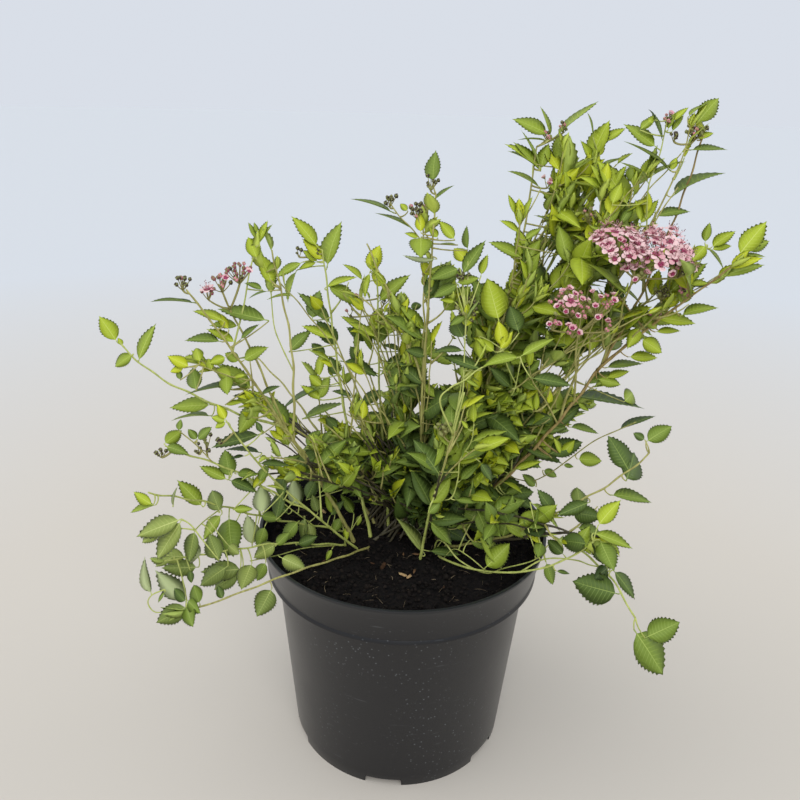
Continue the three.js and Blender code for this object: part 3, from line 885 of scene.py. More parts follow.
def leaf_pattern(family, dice):
    """Corners, faces and finishes of a leaf one long, lying along X with its upper side to +Z."""
    half, rise_power, fall_power, fold, curl, tooth, teeth = FAMILIES[family]
    half *= dice.uniform(0.85, 1.15)
    fold *= dice.uniform(0.6, 1.4)
    curl = curl * dice.uniform(0.4, 1.8) + dice.uniform(-0.04, 0.04)
    sweep = dice.uniform(-0.06, 0.06)
    twist = dice.uniform(-0.25, 0.25)
    wave = dice.uniform(0.2, 1.0) * WAVE
    peak = rise_power / (rise_power + fall_power)
    full = peak ** rise_power * (1 - peak) ** fall_power

    def half_width(v):
        return half * max(v, 0) ** rise_power * max(1 - v, 0) ** fall_power / full

    def place(v, y, lift=0.0):
        """A point of the leaf: v along it, y across it."""
        along = STALK + (1 - STALK) * v
        side = y + sweep * v * v
        height = fold * abs(y) - curl * v * v + twist * y * v + lift
        return (along - 0.4 * curl * curl * v, side, height)

    corners, faces, finishes = [], [], []

    def corner(*point):
        corners.append(point)
        return len(corners) - 1

    stations = [k / teeth for k in range(teeth + 1)]
    ribs = {side: [corner(*place(v, side * RIB_HALF * (1 - 0.8 * v), RIB_RISE)) for v in stations[:-1]]
            for side in (-1, 1)}
    keel = [corner(*place(v, 0.0, -KEEL_DROP * (1 - v))) for v in stations[:-1]]
    apex = corner(*place(1.0, 0.0))
    for side in (-1, 1):
        toothed = [min(1.0, max(0.0, (v - TOOTHED_FROM) / TOOTHED_SPAN)) for v in stations]
        valleys, tips = [], []
        for k, v in enumerate(stations[:-1]):
            edge = half_width(v)
            valley = max(edge - 0.4 * tooth * toothed[k], RIB_HALF)
            valleys.append(corner(*place(v, side * valley, wave if k else 0)))
            if k < teeth - 1:
                forward = v + 0.8 / teeth
                tips.append(corner(*place(forward, side * (half_width(forward) + tooth * toothed[k]), -wave)))
        for k in range(teeth):
            rib_a = ribs[side][k]
            rib_b = ribs[side][k + 1] if k < teeth - 1 else apex
            outer = [valleys[k], tips[k], valleys[k + 1]] if k < teeth - 1 else [valleys[k], apex]
            upper = [rib_a] + outer + ([rib_b] if rib_b != apex else [])
            keel_b = keel[k + 1] if k < teeth - 1 else apex
            under = [keel[k]] + outer + ([keel_b] if keel_b != apex else [])
            if side > 0:
                upper.reverse()
            else:
                under.reverse()
            faces += [tuple(upper), tuple(under)]
            finishes += [TOP, UNDER]
            if 0 < k < teeth - 1:
                here = stations[k]
                end_width = half_width(here + 0.11) * 0.9
                vein = [corner(*place(here - VEIN_HALF, side * RIB_HALF * 0.8, VEIN_RISE)),
                        corner(*place(here + VEIN_HALF, side * RIB_HALF * 0.8, VEIN_RISE)),
                        corner(*place(here + 1.1 / teeth, side * end_width, 0.005))]
                faces.append(tuple(vein if side > 0 else vein[::-1]))
                finishes.append(VEIN)
    for k in range(teeth):
        right, left = ribs[-1], ribs[1]
        if k < teeth - 1:
            faces.append((right[k], right[k + 1], left[k + 1], left[k]))
        else:
            faces.append((right[k], apex, left[k]))
        finishes.append(RIB)
    faces.append((ribs[-1][0], ribs[1][0], keel[0]))
    finishes.append(RIB)
    stalk, stalk_faces = tube([(0, 0, 0), (STALK * 0.6, 0, 0.004), (STALK * 1.3, 0, -0.004)],
                              [0.017, 0.014, 0.010], STALK_SIDES)
    base = len(corners)
    corners += [tuple(point) for point in stalk]
    faces += [tuple(i + base for i in face) for face in stalk_faces]
    finishes += [RIB] * len(stalk_faces)
    return np.array(corners), faces, finishes


patterns = {family: [leaf_pattern(family, random.Random(f"{family} {number}"))
                     for number in range(PATTERNS)] for family in FAMILIES}
print("leaf pattern:", sum(len(face) - 2 for face in patterns["ovate"][0][1]), "triangles")

# %% [markdown]
# ## Leaf colours
# The colour of a leaf has a place: spring yellow in the growing tips, lime on the new shoots, green
# on the crown and deep green inside it, and a dull grey green on the shoots that hang low. The deep
# and shade tones low down and inside the crown are partly the older leaves' own colour and partly
# painted shade. So each leaf gets one of these tones as it is set, and each tone is one joined piece
# with plain colours.
# A fine unevenness in roughness and relief keeps the skin from looking like enamel.

# %% Leaf tones
TONES = {
    # name: upper side, lower side, ribs and stalk
    "spring": ((184, 193, 44), (184, 198, 86), (206, 210, 100)),
    "lime": ((162, 178, 50), (168, 185, 86), (190, 200, 100)),
    "fresh": ((138, 156, 52), (158, 175, 88), (172, 186, 92)),
    "green": ((112, 132, 52), (144, 162, 86), (152, 168, 84)),
    "deep": ((82, 101, 46), (122, 141, 78), (128, 145, 74)),
    "shade": ((58, 74, 38), (100, 119, 68), (106, 121, 62)),
    "dull": ((138, 151, 76), (176, 186, 134), (180, 189, 112)),
    "olive": ((112, 127, 62), (154, 164, 112), (160, 170, 96)),
}
BY_FRESHNESS = ("shade", "deep", "green", "fresh", "lime", "spring")
SKIN_CELLS, UNEVEN_GLOSS = 700.0, 0.1
VEIN_PALER = 0.4


def leaf_skin(name, colour, roughness):
    """A plain colour with a soft, slightly uneven gloss."""
    material, nodes, links, shader = new_material(name, roughness)
    shader.inputs["Base Color"].default_value = linear(*colour)
    shader.inputs["Specular IOR Level"].default_value = 0.24
    grain = noise_node(nodes, links, SKIN_CELLS, 2.0)
    uneven = range_node(nodes, links, grain, given=(roughness - UNEVEN_GLOSS, roughness + UNEVEN_GLOSS))
    links.new(uneven, shader.inputs["Roughness"])
    bump_node(nodes, links, shader, grain, 0.35, 0.3 * MM)
    return material


def leaf_skins(tone, top, under, rib):
    """The skins of one tone, in the order of TOP, UNDER, RIB and VEIN."""
    vein = tuple(mix(skin, pale, VEIN_PALER) for skin, pale in zip(top, rib))
    parts = (("top", top, 0.5), ("under", under, 0.68), ("rib", rib, 0.6), ("vein", vein, 0.55))
    return [leaf_skin(f"leaf_{tone}_{part}", colour, roughness) for part, colour, roughness in parts]


leaf_materials = {tone: leaf_skins(tone, *colours) for tone, colours in TONES.items()}

sprays = {tone: [] for tone in TONES}
sprays_nodes = {tone: set() for tone in TONES}
LIGHT_FROM = unit(np.array([-0.10, -0.55, 0.83]))
CLEAR_OF_LIP, CLEAR_OF_SOIL, CLEAR_OUTSIDE, CLEAR_INSIDE = 1.5, 1.0, 2.5, 4.0


def leaf_count():
    """How many leaves are set so far."""
    return sum(len(leaves) for leaves in sprays.values())


def in_the_way(place):
    """True inside the pot's wall, its rim or the compost."""
    reach = math.hypot(place[0], place[1])
    beside_pot = reach < RIM_RADIUS + CLEAR_OUTSIDE
    in_wall = place[2] < POT_HEIGHT + CLEAR_OF_LIP and BASE_RADIUS - CLEAR_INSIDE < reach
    return beside_pot and (in_wall or place[2] < SOIL_TOP + CLEAR_OF_SOIL)


# %% [markdown]
# ## Thin shoots that show
# Besides the limbs of the frame, some thin shoots are known by the line that they draw across the
# crown. Each starts on the limb that carries it and follows a few points of the picture, while its
# depth runs evenly from the limb's to its own at the tip.

# %% Thin shoots that show
THIN_SHOOTS = {
    # name: limb, depth of the tip (frame's y), radius at the foot, bark, picture points
    "left_upright": ("left_flower", -25, 0.8, "fresh", [(240, 345), (244, 305), (249, 275), (256, 247)]),
    "left_spray": ("left_flower", -52, 0.6, "tan", [(247, 383), (232, 377), (215, 371), (198, 365)]),
    "left_second": ("upper_left", -12, 0.6, "fresh", [(290, 372), (281, 345), (274, 325), (271, 292)]),
    "side_buds": ("left_side", -72, 0.5, "tan", [(212, 463), (203, 452), (194, 443), (179, 431)]),
    "low_loop": ("left_lowest", -104, 0.5, "fresh",
                 [(187, 605), (170, 611), (155, 612), (148, 603), (152, 595), (163, 590)]),
    "low_fork": ("left_low", -95, 0.5, "fresh", [(222, 513), (212, 515), (203, 522), (195, 530)]),
    "centre_buds": ("centre", 8, 0.6, "tan", [(424, 258), (414, 231), (400, 217), (390, 203)]),
    "centre_bead": ("centre", -6, 0.5, "tan", [(426, 245), (420, 225), (417, 212)]),
    "bud_stalk": ("front", -22, 0.9, "fresh",
                  [(447, 445), (457, 412), (463, 390), (464, 365), (466, 318)]),
    "front_arch": ("front", -40, 0.9, "fresh",
                   [(438, 432), (440, 402), (450, 388), (465, 380), (483, 367), (520, 357)]),
    "lime_spray": ("front", -42, 0.7, "fresh",
                   [(433, 500), (451, 498), (458, 478), (460, 460), (471, 442), (474, 424)]),
    "mid_spray": ("top_right", -12, 0.9, "fresh",
                  [(516, 478), (512, 445), (508, 420), (508, 402), (515, 388), (521, 358)]),
    "mid_tip": ("mid_spray", -18, 0.6, "fresh", [(514, 385), (508, 368), (503, 350)]),
    "low_spray": ("top_right", -20, 0.7, "fresh", [(497, 505), (503, 480), (510, 472), (520, 468)]),
    "fork": ("top_right", -8, 1.0, "tan", [(553, 418), (545, 400), (533, 382), (529, 366)]),
    "crest_stem": ("top_right", 22, 1.4, "tan",
                   [(557, 420), (566, 398), (577, 370), (579, 340), (585, 305), (592, 275), (597, 236),
                    (601, 200)]),
    "top_second": ("top_right", 14, 1.2, "tan",
                   [(643, 291), (645, 240), (660, 207), (673, 180), (684, 153), (690, 127)]),
    "top_third": ("top_second", 22, 0.7, "fresh",
                  [(648, 235), (648, 190), (656, 165), (661, 150), (667, 120)]),
    "rim_low": ("over_rim", -76, 0.7, "fresh",
                [(520, 562), (545, 559), (575, 560), (590, 565), (603, 567), (612, 566)]),
    "rim_loop": ("over_rim", -64, 0.8, "fresh",
                 [(429, 548), (437, 541), (445, 543), (459, 560), (485, 573), (505, 568), (534, 560),
                  (548, 545)]),
    "rim_second": ("over_rim", -48, 0.5, "fresh", [(452, 541), (454, 549), (468, 556), (485, 570)]),
    "hanging_second": ("left_hanging", -46, 0.6, "fresh", [(341, 537), (305, 548), (279, 555), (250, 561)]),
    "low_second": ("left_low", 2, 0.6, "fresh", [(314, 516), (283, 503), (270, 492), (259, 485)]),
    "short_twig": ("yellow_tip", 16, 0.6, "fresh", [(380, 507), (371, 487), (365, 470)]),
    "right_tip": ("far_right", 2, 0.6, "fresh", [(660, 314), (682, 292), (697, 268), (707, 247)]),
    "right_thin": ("right_back", -18, 0.6, "tan",
                   [(505, 480), (528, 481), (548, 474), (568, 460), (594, 441), (618, 430), (636, 422)]),
}
SHOOT_TIP = 0.34
carriers = {}


def picture_place(across, downward, depth):
    """The place that shows at a picture point and lies at a depth along the frame's y."""
    ray = picture_ray(across, downward)
    return CAMERA_PLACE + ray * (depth - CAMERA_PLACE[1]) / ray[1]


def smoothed(points, steps=6):
    """A smooth line through points, by cubics with the slopes of their neighbours."""
    points = np.array(points, float)
    padded = np.vstack([2 * points[0] - points[1], points, 2 * points[-1] - points[-2]])
    result = [points[0]]
    for before, a, b, after in zip(padded, padded[1:], padded[2:], padded[3:]):
        for share in np.linspace(0, 1, steps + 1)[1:]:
            square, cube = 2 * before - 5 * a + 4 * b - after, 3 * a - before - 3 * b + after
            bent = square * share ** 2 + cube * share ** 3
            result.append(a + 0.5 * ((b - before) * share + bent))
    return result


def nearest_on(names, across, downward):
    """The limb, of those named, and the place on it that show nearest to a picture point."""
    best = (math.inf, None, None)
    for name in names:
        if name not in carriers:
            carriers[name] = np.array([picture_point(point)[:2] for point in paths[name].points])
        gaps = np.hypot(*(carriers[name] - (across, downward)).T)
        number = int(np.argmin(gaps))
        if gaps[number] < best[0]:
            best = (gaps[number], name, paths[name].points[number])
    return best[1:]


for name, (limb_name, tip_depth, radius, bark, points) in THIN_SHOOTS.items():
    foot = nearest_on([limb_name], *points[0])[1]
    depths = np.linspace(foot[1], tip_depth, len(points))[1:]
    places = [foot] + [picture_place(*point, depth) for point, depth in zip(points[1:], depths)]
    paths[name] = Path(smoothed(places))
    bark_of[name] = bark
    twigs[bark].append((paths[name], radius * LIMB_GIRTH, SHOOT_TIP))
print("thin shoots:", len(THIN_SHOOTS))

# %% [markdown]
# ## Leaves of the outline
# A shrub is known by its outline, and there single leaves show. They are listed by the limb or thin
# shoot that carries them: where the stalk starts and the tip ends in the picture, how broad the leaf
# looks, and its tone. A leaf that looks shorter than its kind is turned towards the camera or away
# from it, and one that looks narrower is rolled, both so that its upper side meets the light.

# %% Leaves of the outline
def rows_of(text):
    """The rows of a table that is written as text, with ; between them: numbers and names."""
    return [[int(word) if word.isdigit() else word for word in row.split()] for row in text.split(";")]


OUTLINE_LEAVES = {
    # limbs: stalk across, stalk down, tip across, tip down, breadth and tone of each leaf
    "far_left": """
        117 342 99 316 13 lime; 137 363 155 324 14 fresh; 133 354 115 367 12 fresh; 121 346 116 338 4 lime;
        212 405 169 408 15 fresh; 212 416 171 421 5 green""",
    "left_spray left_flower": """
        190 367 167 356 12 spring; 200 362 193 347 12 lime; 196 391 189 367 17 green;
        184 368 170 372 8 spring; 180 380 178 369 6 green; 232 378 213 370 15 lime;
        226 376 230 396 14 fresh; 212 368 206 356 9 lime""",
    "left_flower": """
        196 303 150 302 4 deep; 269 321 217 309 15 green; 225 322 192 311 9 lime; 229 330 214 311 9 spring;
        236 343 206 329 10 lime; 222 342 184 341 8 green; 240 340 260 324 7 green;
        243 361 269 347 13 fresh; 226 357 211 364 11 lime; 241 360 226 352 10 fresh;
        246 375 231 379 5 lime; 240 385 185 395 6 deep; 260 398 232 396 6 deep; 260 395 281 386 5 deep;
        258 403 239 434 21 fresh; 225 405 244 402 5 lime; 283 440 269 430 7 spring;
        283 438 275 413 9 spring; 285 438 294 424 9 lime; 262 434 211 448 12 deep""",
    "left_mid": """
        226 420 217 404 8 spring; 226 421 211 417 7 lime; 226 422 215 428 7 lime; 262 453 224 450 3 shade;
        245 456 230 459 3 shade; 259 482 269 465 11 green; 257 463 290 466 6 deep;
        262 514 258 486 20 under; 283 500 287 466 12 deep; 233 510 254 509 7 fresh; 262 432 256 421 6 deep;
        276 520 284 486 12 deep""",
    "left_side side_buds": """
        197 440 212 427 10 green; 197 440 188 429 8 green; 177 430 178 418 6 green;
        164 444 177 431 15 fresh; 165 446 190 455 9 green; 230 478 223 450 18 green;
        228 480 199 466 10 fresh; 236 474 259 475 8 green; 229 480 257 493 11 deep""",
    "left_low low_fork": """
        153 505 132 492 12 lime; 156 505 130 513 5 fresh; 203 507 177 480 15 fresh;
        173 507 178 486 3 olive; 220 512 208 492 17 olive; 182 519 136 537 21 dull;
        182 520 157 560 25 dull; 194 530 188 563 18 olive; 222 514 203 541 12 fresh;
        219 560 206 536 18 olive; 229 516 238 553 26 green; 252 546 247 514 15 under;
        265 526 258 549 14 green; 228 545 241 553 10 dull; 237 520 226 558 22 deep;
        214 536 221 560 16 olive; 163 528 142 543 14 dull""",
    "left_low low_second": """
        299 507 293 478 16 under; 318 513 312 494 9 olive; 335 515 325 491 10 fresh;
        299 521 281 543 12 green; 305 517 303 543 10 olive; 308 522 313 545 11 dull;
        261 515 283 519 8 green; 258 524 254 543 10 dull; 361 515 357 526 6 fresh; 354 514 340 494 9 green;
        330 516 345 500 9 deep; 288 514 275 500 9 deep""",
    "left_hanging": """
        277 545 254 559 15 dull; 199 567 161 568 18 olive; 173 557 155 567 7 dull; 190 570 193 582 8 deep;
        187 601 155 570 17 under; 243 569 200 572 20 olive; 252 563 246 584 19 dull;
        228 566 200 586 19 olive; 266 562 257 581 12 green; 240 572 214 590 17 olive""",
    "left_hanging hanging_second": """
        341 517 333 534 9 green; 346 526 347 541 7 lime; 280 557 306 569 17 dull; 316 546 297 567 13 dull;
        305 553 284 565 14 olive; 332 549 326 561 6 fresh; 297 545 318 536 10 deep;
        276 546 290 532 11 green""",
    "left_lowest low_loop": """
        223 600 217 587 9 deep; 272 588 260 612 19 olive; 151 594 144 555 5 under; 186 602 172 590 12 deep;
        187 600 204 610 14 green; 188 606 156 623 17 olive; 187 605 198 622 16 green;
        165 592 158 603 4 green; 200 604 190 588 14 green""",
    "upper_left left_upright": """
        257 259 248 237 12 lime; 273 286 258 252 15 lime; 256 240 248 222 4 fresh; 259 242 268 220 10 lime;
        257 233 254 222 4 fresh; 259 244 273 224 6 fresh; 263 290 244 283 6 green; 268 291 248 299 4 green;
        266 272 281 262 9 fresh""",
    "left_leaf": """
        318 248 291 216 15 lime; 327 268 342 221 18 fresh; 317 262 298 270 8 lime;
        303 262 275 278 10 fresh; 318 262 302 250 9 lime; 297 270 288 303 7 fresh; 325 288 358 277 8 lime;
        328 286 359 308 13 fresh; 331 325 296 292 11 green; 312 320 320 290 16 green;
        338 346 316 320 16 deep; 289 352 312 330 14 green; 326 356 311 343 12 deep; 319 378 324 349 9 lime;
        337 376 329 356 12 deep; 341 361 379 377 15 deep; 320 388 279 412 8 deep; 302 419 345 403 8 green;
        318 400 330 376 14 fresh; 322 400 300 385 9 lime; 322 386 309 375 10 lime;
        306 447 321 430 12 green; 322 444 333 429 8 green; 300 450 339 447 9 deep; 310 467 349 457 8 deep;
        338 428 325 418 11 deep; 350 438 340 423 13 spring; 353 397 331 391 5 deep;
        306 500 318 476 12 deep; 354 485 370 495 12 deep""",
    "short_twig": """
        367 476 361 464 7 fresh; 370 486 385 487 5 fresh; 379 505 390 500 5 fresh; 390 486 406 503 13 deep""",
    "yellow_tip": """
        370 272 380 245 17 spring; 370 272 365 299 7 lime; 363 281 342 264 6 lime;
        377 302 410 274 17 fresh; 404 311 404 291 10 lime; 410 308 422 304 9 deep; 419 320 384 308 10 deep;
        381 346 377 306 20 green; 366 331 340 316 9 lime; 366 331 381 326 7 lime; 368 342 346 327 11 deep;
        362 364 350 346 13 deep; 386 370 405 355 13 green; 401 351 382 345 5 deep;
        406 360 402 339 10 spring; 398 335 409 319 10 lime; 361 405 382 390 10 deep;
        356 417 401 424 12 green; 391 391 420 381 9 fresh; 387 368 401 356 11 deep;
        352 372 343 385 9 fresh; 364 476 350 451 12 fresh; 405 395 433 401 9 deep""",
    "centre_buds": """
        394 213 350 199 9 green; 412 230 375 215 6 green; 408 211 400 203 7 lime""",
    "centre": """
        433 183 436 150 14 green; 433 201 455 185 6 green; 421 233 420 212 10 spring;
        419 238 404 233 6 lime; 421 237 420 263 22 fresh; 437 259 402 255 8 under; 425 298 439 272 15 deep;
        432 289 433 269 6 lime; 455 240 439 221 14 lime; 438 238 429 227 8 lime; 468 250 467 225 5 green;
        458 245 436 244 4 fresh; 436 424 438 384 16 green; 438 398 419 382 10 fresh;
        427 356 405 350 9 deep""",
    "bud_stalk": """
        468 262 455 245 16 spring; 462 276 486 240 14 green; 481 276 488 254 9 lime;
        460 268 430 280 17 green; 458 284 433 298 15 green; 456 283 480 278 10 fresh;
        455 302 439 300 7 lime; 464 339 455 316 20 deep; 463 352 430 354 7 deep; 482 370 441 356 13 deep;
        466 315 450 326 10 green""",
    "mid_tip mid_spray": """
        499 322 487 278 26 lime; 503 347 498 320 13 spring; 495 352 475 338 11 lime;
        479 336 481 360 13 lime; 500 350 513 331 11 spring; 512 352 492 357 7 lime;
        519 333 512 304 20 deep; 512 388 489 367 14 deep; 500 410 487 387 15 spring;
        503 417 484 419 7 lime; 508 418 523 399 13 lime; 508 417 524 427 9 lime; 507 425 508 441 12 spring""",
    "front_arch": """
        521 357 483 367 9 fresh; 521 357 557 338 11 fresh; 466 380 481 388 5 fresh;
        531 378 572 386 13 deep""",
    "lime_spray": """
        474 424 474 400 9 lime; 468 429 461 420 5 lime; 471 442 508 431 10 fresh; 460 481 481 462 10 green;
        480 462 492 482 8 deep; 431 470 447 433 14 fresh; 430 505 451 477 18 fresh;
        455 500 480 503 6 green; 428 514 441 501 10 green""",
    "fork": """
        533 412 524 390 12 lime; 536 412 537 390 7 lime; 531 370 541 358 8 green""",
    "low_spray": """
        513 470 543 461 7 lime; 506 472 488 466 12 lime; 503 495 534 492 16 deep; 505 494 523 487 9 green;
        508 523 509 507 14 dull""",
    "rosette": """
        521 300 512 269 18 lime; 525 300 501 289 11 fresh; 528 292 553 276 23 green;
        551 290 573 261 20 lime; 552 295 532 294 6 lime; 515 215 508 194 7 lime; 520 220 519 198 9 spring;
        522 222 533 196 7 lime; 519 232 499 219 7 lime; 525 240 542 228 7 fresh; 522 258 488 242 15 fresh;
        526 262 541 239 13 fresh; 541 188 507 171 7 fresh; 580 258 551 240 13 deep""",
    "right_top": """
        549 135 512 119 17 fresh; 551 137 540 106 7 fresh; 555 137 599 101 8 fresh;
        548 141 517 140 4 fresh; 564 167 563 129 24 fresh; 541 170 504 144 12 lime;
        541 171 507 151 8 fresh; 541 170 513 142 11 fresh; 541 169 521 130 6 fresh;
        541 170 549 143 12 fresh; 575 232 533 215 9 fresh; 565 195 554 171 11 lime;
        566 195 575 167 10 spring; 564 196 545 182 9 lime; 560 240 548 252 8 green;
        597 237 539 190 25 fresh""",
    "right_crest crest_stem": """
        593 137 587 112 5 fresh; 592 163 580 140 11 lime; 592 160 610 120 15 lime; 602 143 626 128 9 lime;
        600 168 629 157 5 fresh; 612 190 627 165 7 lime; 637 187 639 158 22 fresh;
        600 221 635 186 20 fresh; 603 190 590 164 10 lime; 603 190 608 162 10 spring;
        604 191 579 177 9 lime; 596 275 613 272 12 deep; 609 283 623 300 11 deep; 615 284 643 307 7 fresh;
        622 338 620 296 21 green; 600 345 618 324 20 deep; 578 363 532 355 17 green;
        576 341 537 345 12 green; 642 239 603 221 25 deep; 572 396 645 409 13 deep;
        624 402 639 392 17 fresh; 585 385 618 372 8 green""",
    "top_second top_third top_right": """
        657 148 623 124 18 fresh; 671 171 623 141 10 green; 643 131 656 114 9 lime; 672 122 689 107 7 lime;
        688 117 710 102 4 fresh; 696 124 722 95 19 fresh; 697 140 714 133 7 lime; 690 150 728 150 10 green;
        671 197 726 173 12 green; 653 217 689 212 9 green; 650 175 684 161 6 fresh;
        655 120 648 109 3 shade; 671 171 677 157 7 lime; 641 235 658 223 7 lime; 645 215 649 192 8 spring;
        641 222 635 199 10 lime; 640 225 659 199 10 lime; 662 140 650 110 5 deep; 668 130 675 112 5 fresh;
        672 132 684 115 6 fresh; 640 130 655 118 8 fresh; 620 225 634 205 8 green; 612 205 622 182 10 lime""",
    "far_right right_tip": """
        600 269 643 256 12 green; 705 243 710 222 8 fresh; 711 248 736 231 12 lime; 711 250 732 246 7 lime;
        706 248 723 271 6 fresh; 706 245 690 263 14 lime; 738 256 767 221 21 lime;
        745 250 772 240 14 fresh; 740 259 766 257 6 fresh; 720 278 765 265 12 fresh;
        670 292 708 263 15 fresh; 685 284 711 284 8 lime; 680 305 691 282 15 fresh;
        662 308 681 291 14 spring; 690 286 709 288 4 shade; 680 316 719 308 9 fresh;
        655 318 696 324 13 lime; 658 330 639 311 15 fresh; 655 332 681 331 8 lime; 641 339 662 353 15 lime;
        628 357 658 358 10 lime; 640 327 627 349 12 lime; 605 368 644 364 9 green; 606 378 630 371 9 lime;
        597 379 621 385 11 fresh""",
    "top_right": """
        553 430 584 405 13 deep; 578 403 589 411 7 fresh; 569 427 599 434 6 green; 548 455 583 442 20 deep;
        562 455 553 437 8 lime; 562 455 575 440 9 lime; 552 458 524 449 10 deep""",
    "right_thin": """
        577 459 602 461 13 fresh; 563 465 574 467 5 green; 543 470 557 477 9 green; 619 430 657 416 4 deep;
        536 487 522 474 10 green""",
    "right_low": """
        646 442 672 426 17 green; 645 440 634 433 8 deep; 628 472 607 437 24 deep; 626 481 646 455 30 deep;
        554 512 536 487 14 deep; 610 495 652 503 8 green; 580 508 583 490 19 olive;
        571 512 600 516 18 deep; 590 502 556 516 12 deep""",
    "over_rim rim_low": """
        598 526 621 500 14 lime; 593 533 633 549 11 fresh; 588 544 566 545 20 deep;
        600 540 607 565 22 green; 564 555 550 542 14 deep; 546 562 553 585 13 green;
        556 571 570 574 4 deep; 530 502 561 533 7 fresh; 445 537 471 523 14 green;
        541 542 535 555 12 green; 528 528 546 528 4 green""",
    "rim_loop rim_second": """
        485 568 510 543 20 fresh; 500 566 477 530 12 fresh; 470 540 486 550 7 green;
        475 515 495 506 10 deep; 535 556 541 541 8 fresh""",
    "right_droop": """
        611 567 601 539 23 deep; 608 567 591 576 14 shade; 619 594 575 584 28 deep;
        613 570 635 600 14 deep; 634 630 663 675 30 green; 645 638 680 622 20 green""",
    "front": """
        425 555 395 517 10 dull; 429 521 452 546 13 green; 429 551 461 555 8 deep""",
}
KINDS_BY_SHAPE = [
    # breadth as a share of the length, from which a leaf is of a kind; the narrowest are turned ovals
    (0.50, "round"), (0.34, "ovate"), (0.20, "lance"), (0.0, "ovate")]
TOWARDS_CAMERA = -ahead
PULL, PULLS = 3.0, 10
FACE_JITTER = 0.05
GAP_TO_BRIDGE, BACK_TO_LIMB = 1.2, 1.5
BRIDGE_FOOT, BRIDGE_TIP = 0.42, 0.32


def outline_leaf(names, stalk_across, stalk_down, tip_across, tip_down, breadth, tone, dice):
    """Sets one leaf by where it shows, with a twig to its limb where they don't meet."""
    name, limb_place = nearest_on(names, stalk_across, stalk_down)
    for pull in range(PULLS):
        # a leaf that would cut into the pot is pulled towards the camera, step by step
        depth = picture_point(limb_place)[2] - pull * PULL
        foot = place_ahead(stalk_across, stalk_down, depth)
        flat = place_ahead(tip_across, tip_down, depth) - foot
        reach, broad = np.linalg.norm(flat), breadth / LENS_PIXELS * depth
        family = next(kind for shape, kind in KINDS_BY_SHAPE if broad / reach >= shape)
        ratio = 2 * FAMILIES[family][0]
        length = max(reach, broad / ratio)
        way = unit(flat)
        lean = math.acos(min(1.0, reach / length)) * (-1 if way @ LIGHT_FROM > 0 else 1)
        axis = way * math.cos(lean) + TOWARDS_CAMERA * math.sin(lean)
        face = TOWARDS_CAMERA * math.cos(lean) - way * math.sin(lean)
        roll = math.acos(min(1.0, broad / (ratio * length)))
        aside = np.cross(axis, face)
        face = face * math.cos(roll) + aside * math.sin(roll) * (1 if aside @ LIGHT_FROM > 0 else -1)
        if not any(in_the_way(foot + axis * length * share) for share in (0.0, 0.5, 1.0)):
            break
    else:
        return False
    if tone == "under":
        tone, face = "dull", -face
    face = square_to(axis, face + TOWARDS_CAMERA * dice.gauss(0, FACE_JITTER))
    pattern = dice.choice(patterns[family])
    # the pattern's tip is bent off its axis, so the leaf is swung until the tip shows at its point
    tip = pattern[0][np.argmax(pattern[0][:, 0])]
    leads = axis * tip[0] + np.cross(face, axis) * tip[1] + face * tip[2]
    swing = np.array(Vector(leads).rotation_difference(Vector(axis)).to_matrix())
    axis, face, length = swing @ axis, swing @ face, length / np.linalg.norm(tip)
    if np.linalg.norm(foot - limb_place) > GAP_TO_BRIDGE:
        knee = mix(limb_place, foot, 0.5) - axis * BACK_TO_LIMB
        twigs[bark_of[name]].append((Path(bend(limb_place, knee, foot, 4)), BRIDGE_FOOT, BRIDGE_TIP))
    else:
        foot = limb_place
    sprays[tone].append((foot, axis, face, length, pattern))
    if f"leaves_{name}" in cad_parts:
        sprays_nodes[tone].add(f"leaves_{name}")
    return True


dice = random.Random("outline leaves")
for names, table in OUTLINE_LEAVES.items():
    leaves = rows_of(table)
    kept = [outline_leaf(names.split(), *leaf, dice) for leaf in leaves]
    if not all(kept):
        print("left out:", names, [leaf[:2] for leaf, done in zip(leaves, kept) if not done])
print("leaves of the outline:", leaf_count())

# %% [markdown]
# ## Where the crown is open
# The crown is ragged, and light comes through between its shoots. So the branching rule is given the
# outline of the dense parts and the openings in them, as they show from the camera, and sets no leaf
# that would cover one, at whatever depth it grows. From other sides the same leaves close the crown.
# It also keeps leaves from in front of the stretches of wood that show bare between the leaves.

# %% Outline and openings
# across and down of each corner of the dense parts
CROWN = rows_of("""
    258 505; 235 480; 250 470; 262 450; 240 445; 262 430; 236 425; 235 402; 205 396; 180 380; 170 358;
    200 345; 235 350; 200 315; 240 305; 268 315; 262 280; 245 250; 252 226; 268 226; 276 256; 300 258;
    292 220; 316 238; 340 222; 344 245; 330 276; 366 278; 365 250; 380 245; 386 280; 410 274; 418 290;
    420 262; 408 240; 418 210; 400 205; 425 195; 434 152; 444 170; 438 215; 458 240; 485 243; 490 262;
    484 285; 505 296; 508 270; 520 278; 516 262; 490 243; 515 240; 508 200; 532 200; 530 235; 546 225;
    540 190; 510 150; 545 170; 515 120; 548 130; 542 110; 560 130; 574 125; 580 150; 590 120; 600 130;
    608 125; 622 140; 650 122; 690 112; 718 100; 712 125; 690 150; 682 190; 668 205; 684 215; 655 225;
    650 238; 690 245; 708 226; 712 245; 734 235; 740 250; 766 224; 766 262; 722 280; 700 302; 680 318;
    692 325; 660 336; 658 358; 640 365; 618 386; 590 392; 636 408; 590 410; 572 425; 590 435; 560 434;
    582 442; 572 458; 548 464; 540 478; 520 484; 540 490; 554 512; 546 545; 540 566; 505 552; 470 545;
    430 540; 400 520; 378 510; 362 500; 330 492; 290 486; 262 496""")
LOW_LEFT = rows_of("""
    136 538; 160 532; 185 530; 205 520; 225 512; 262 512; 275 560; 250 582; 225 592; 200 580; 202 608;
    192 625; 160 626; 158 590; 158 570; 145 552""")
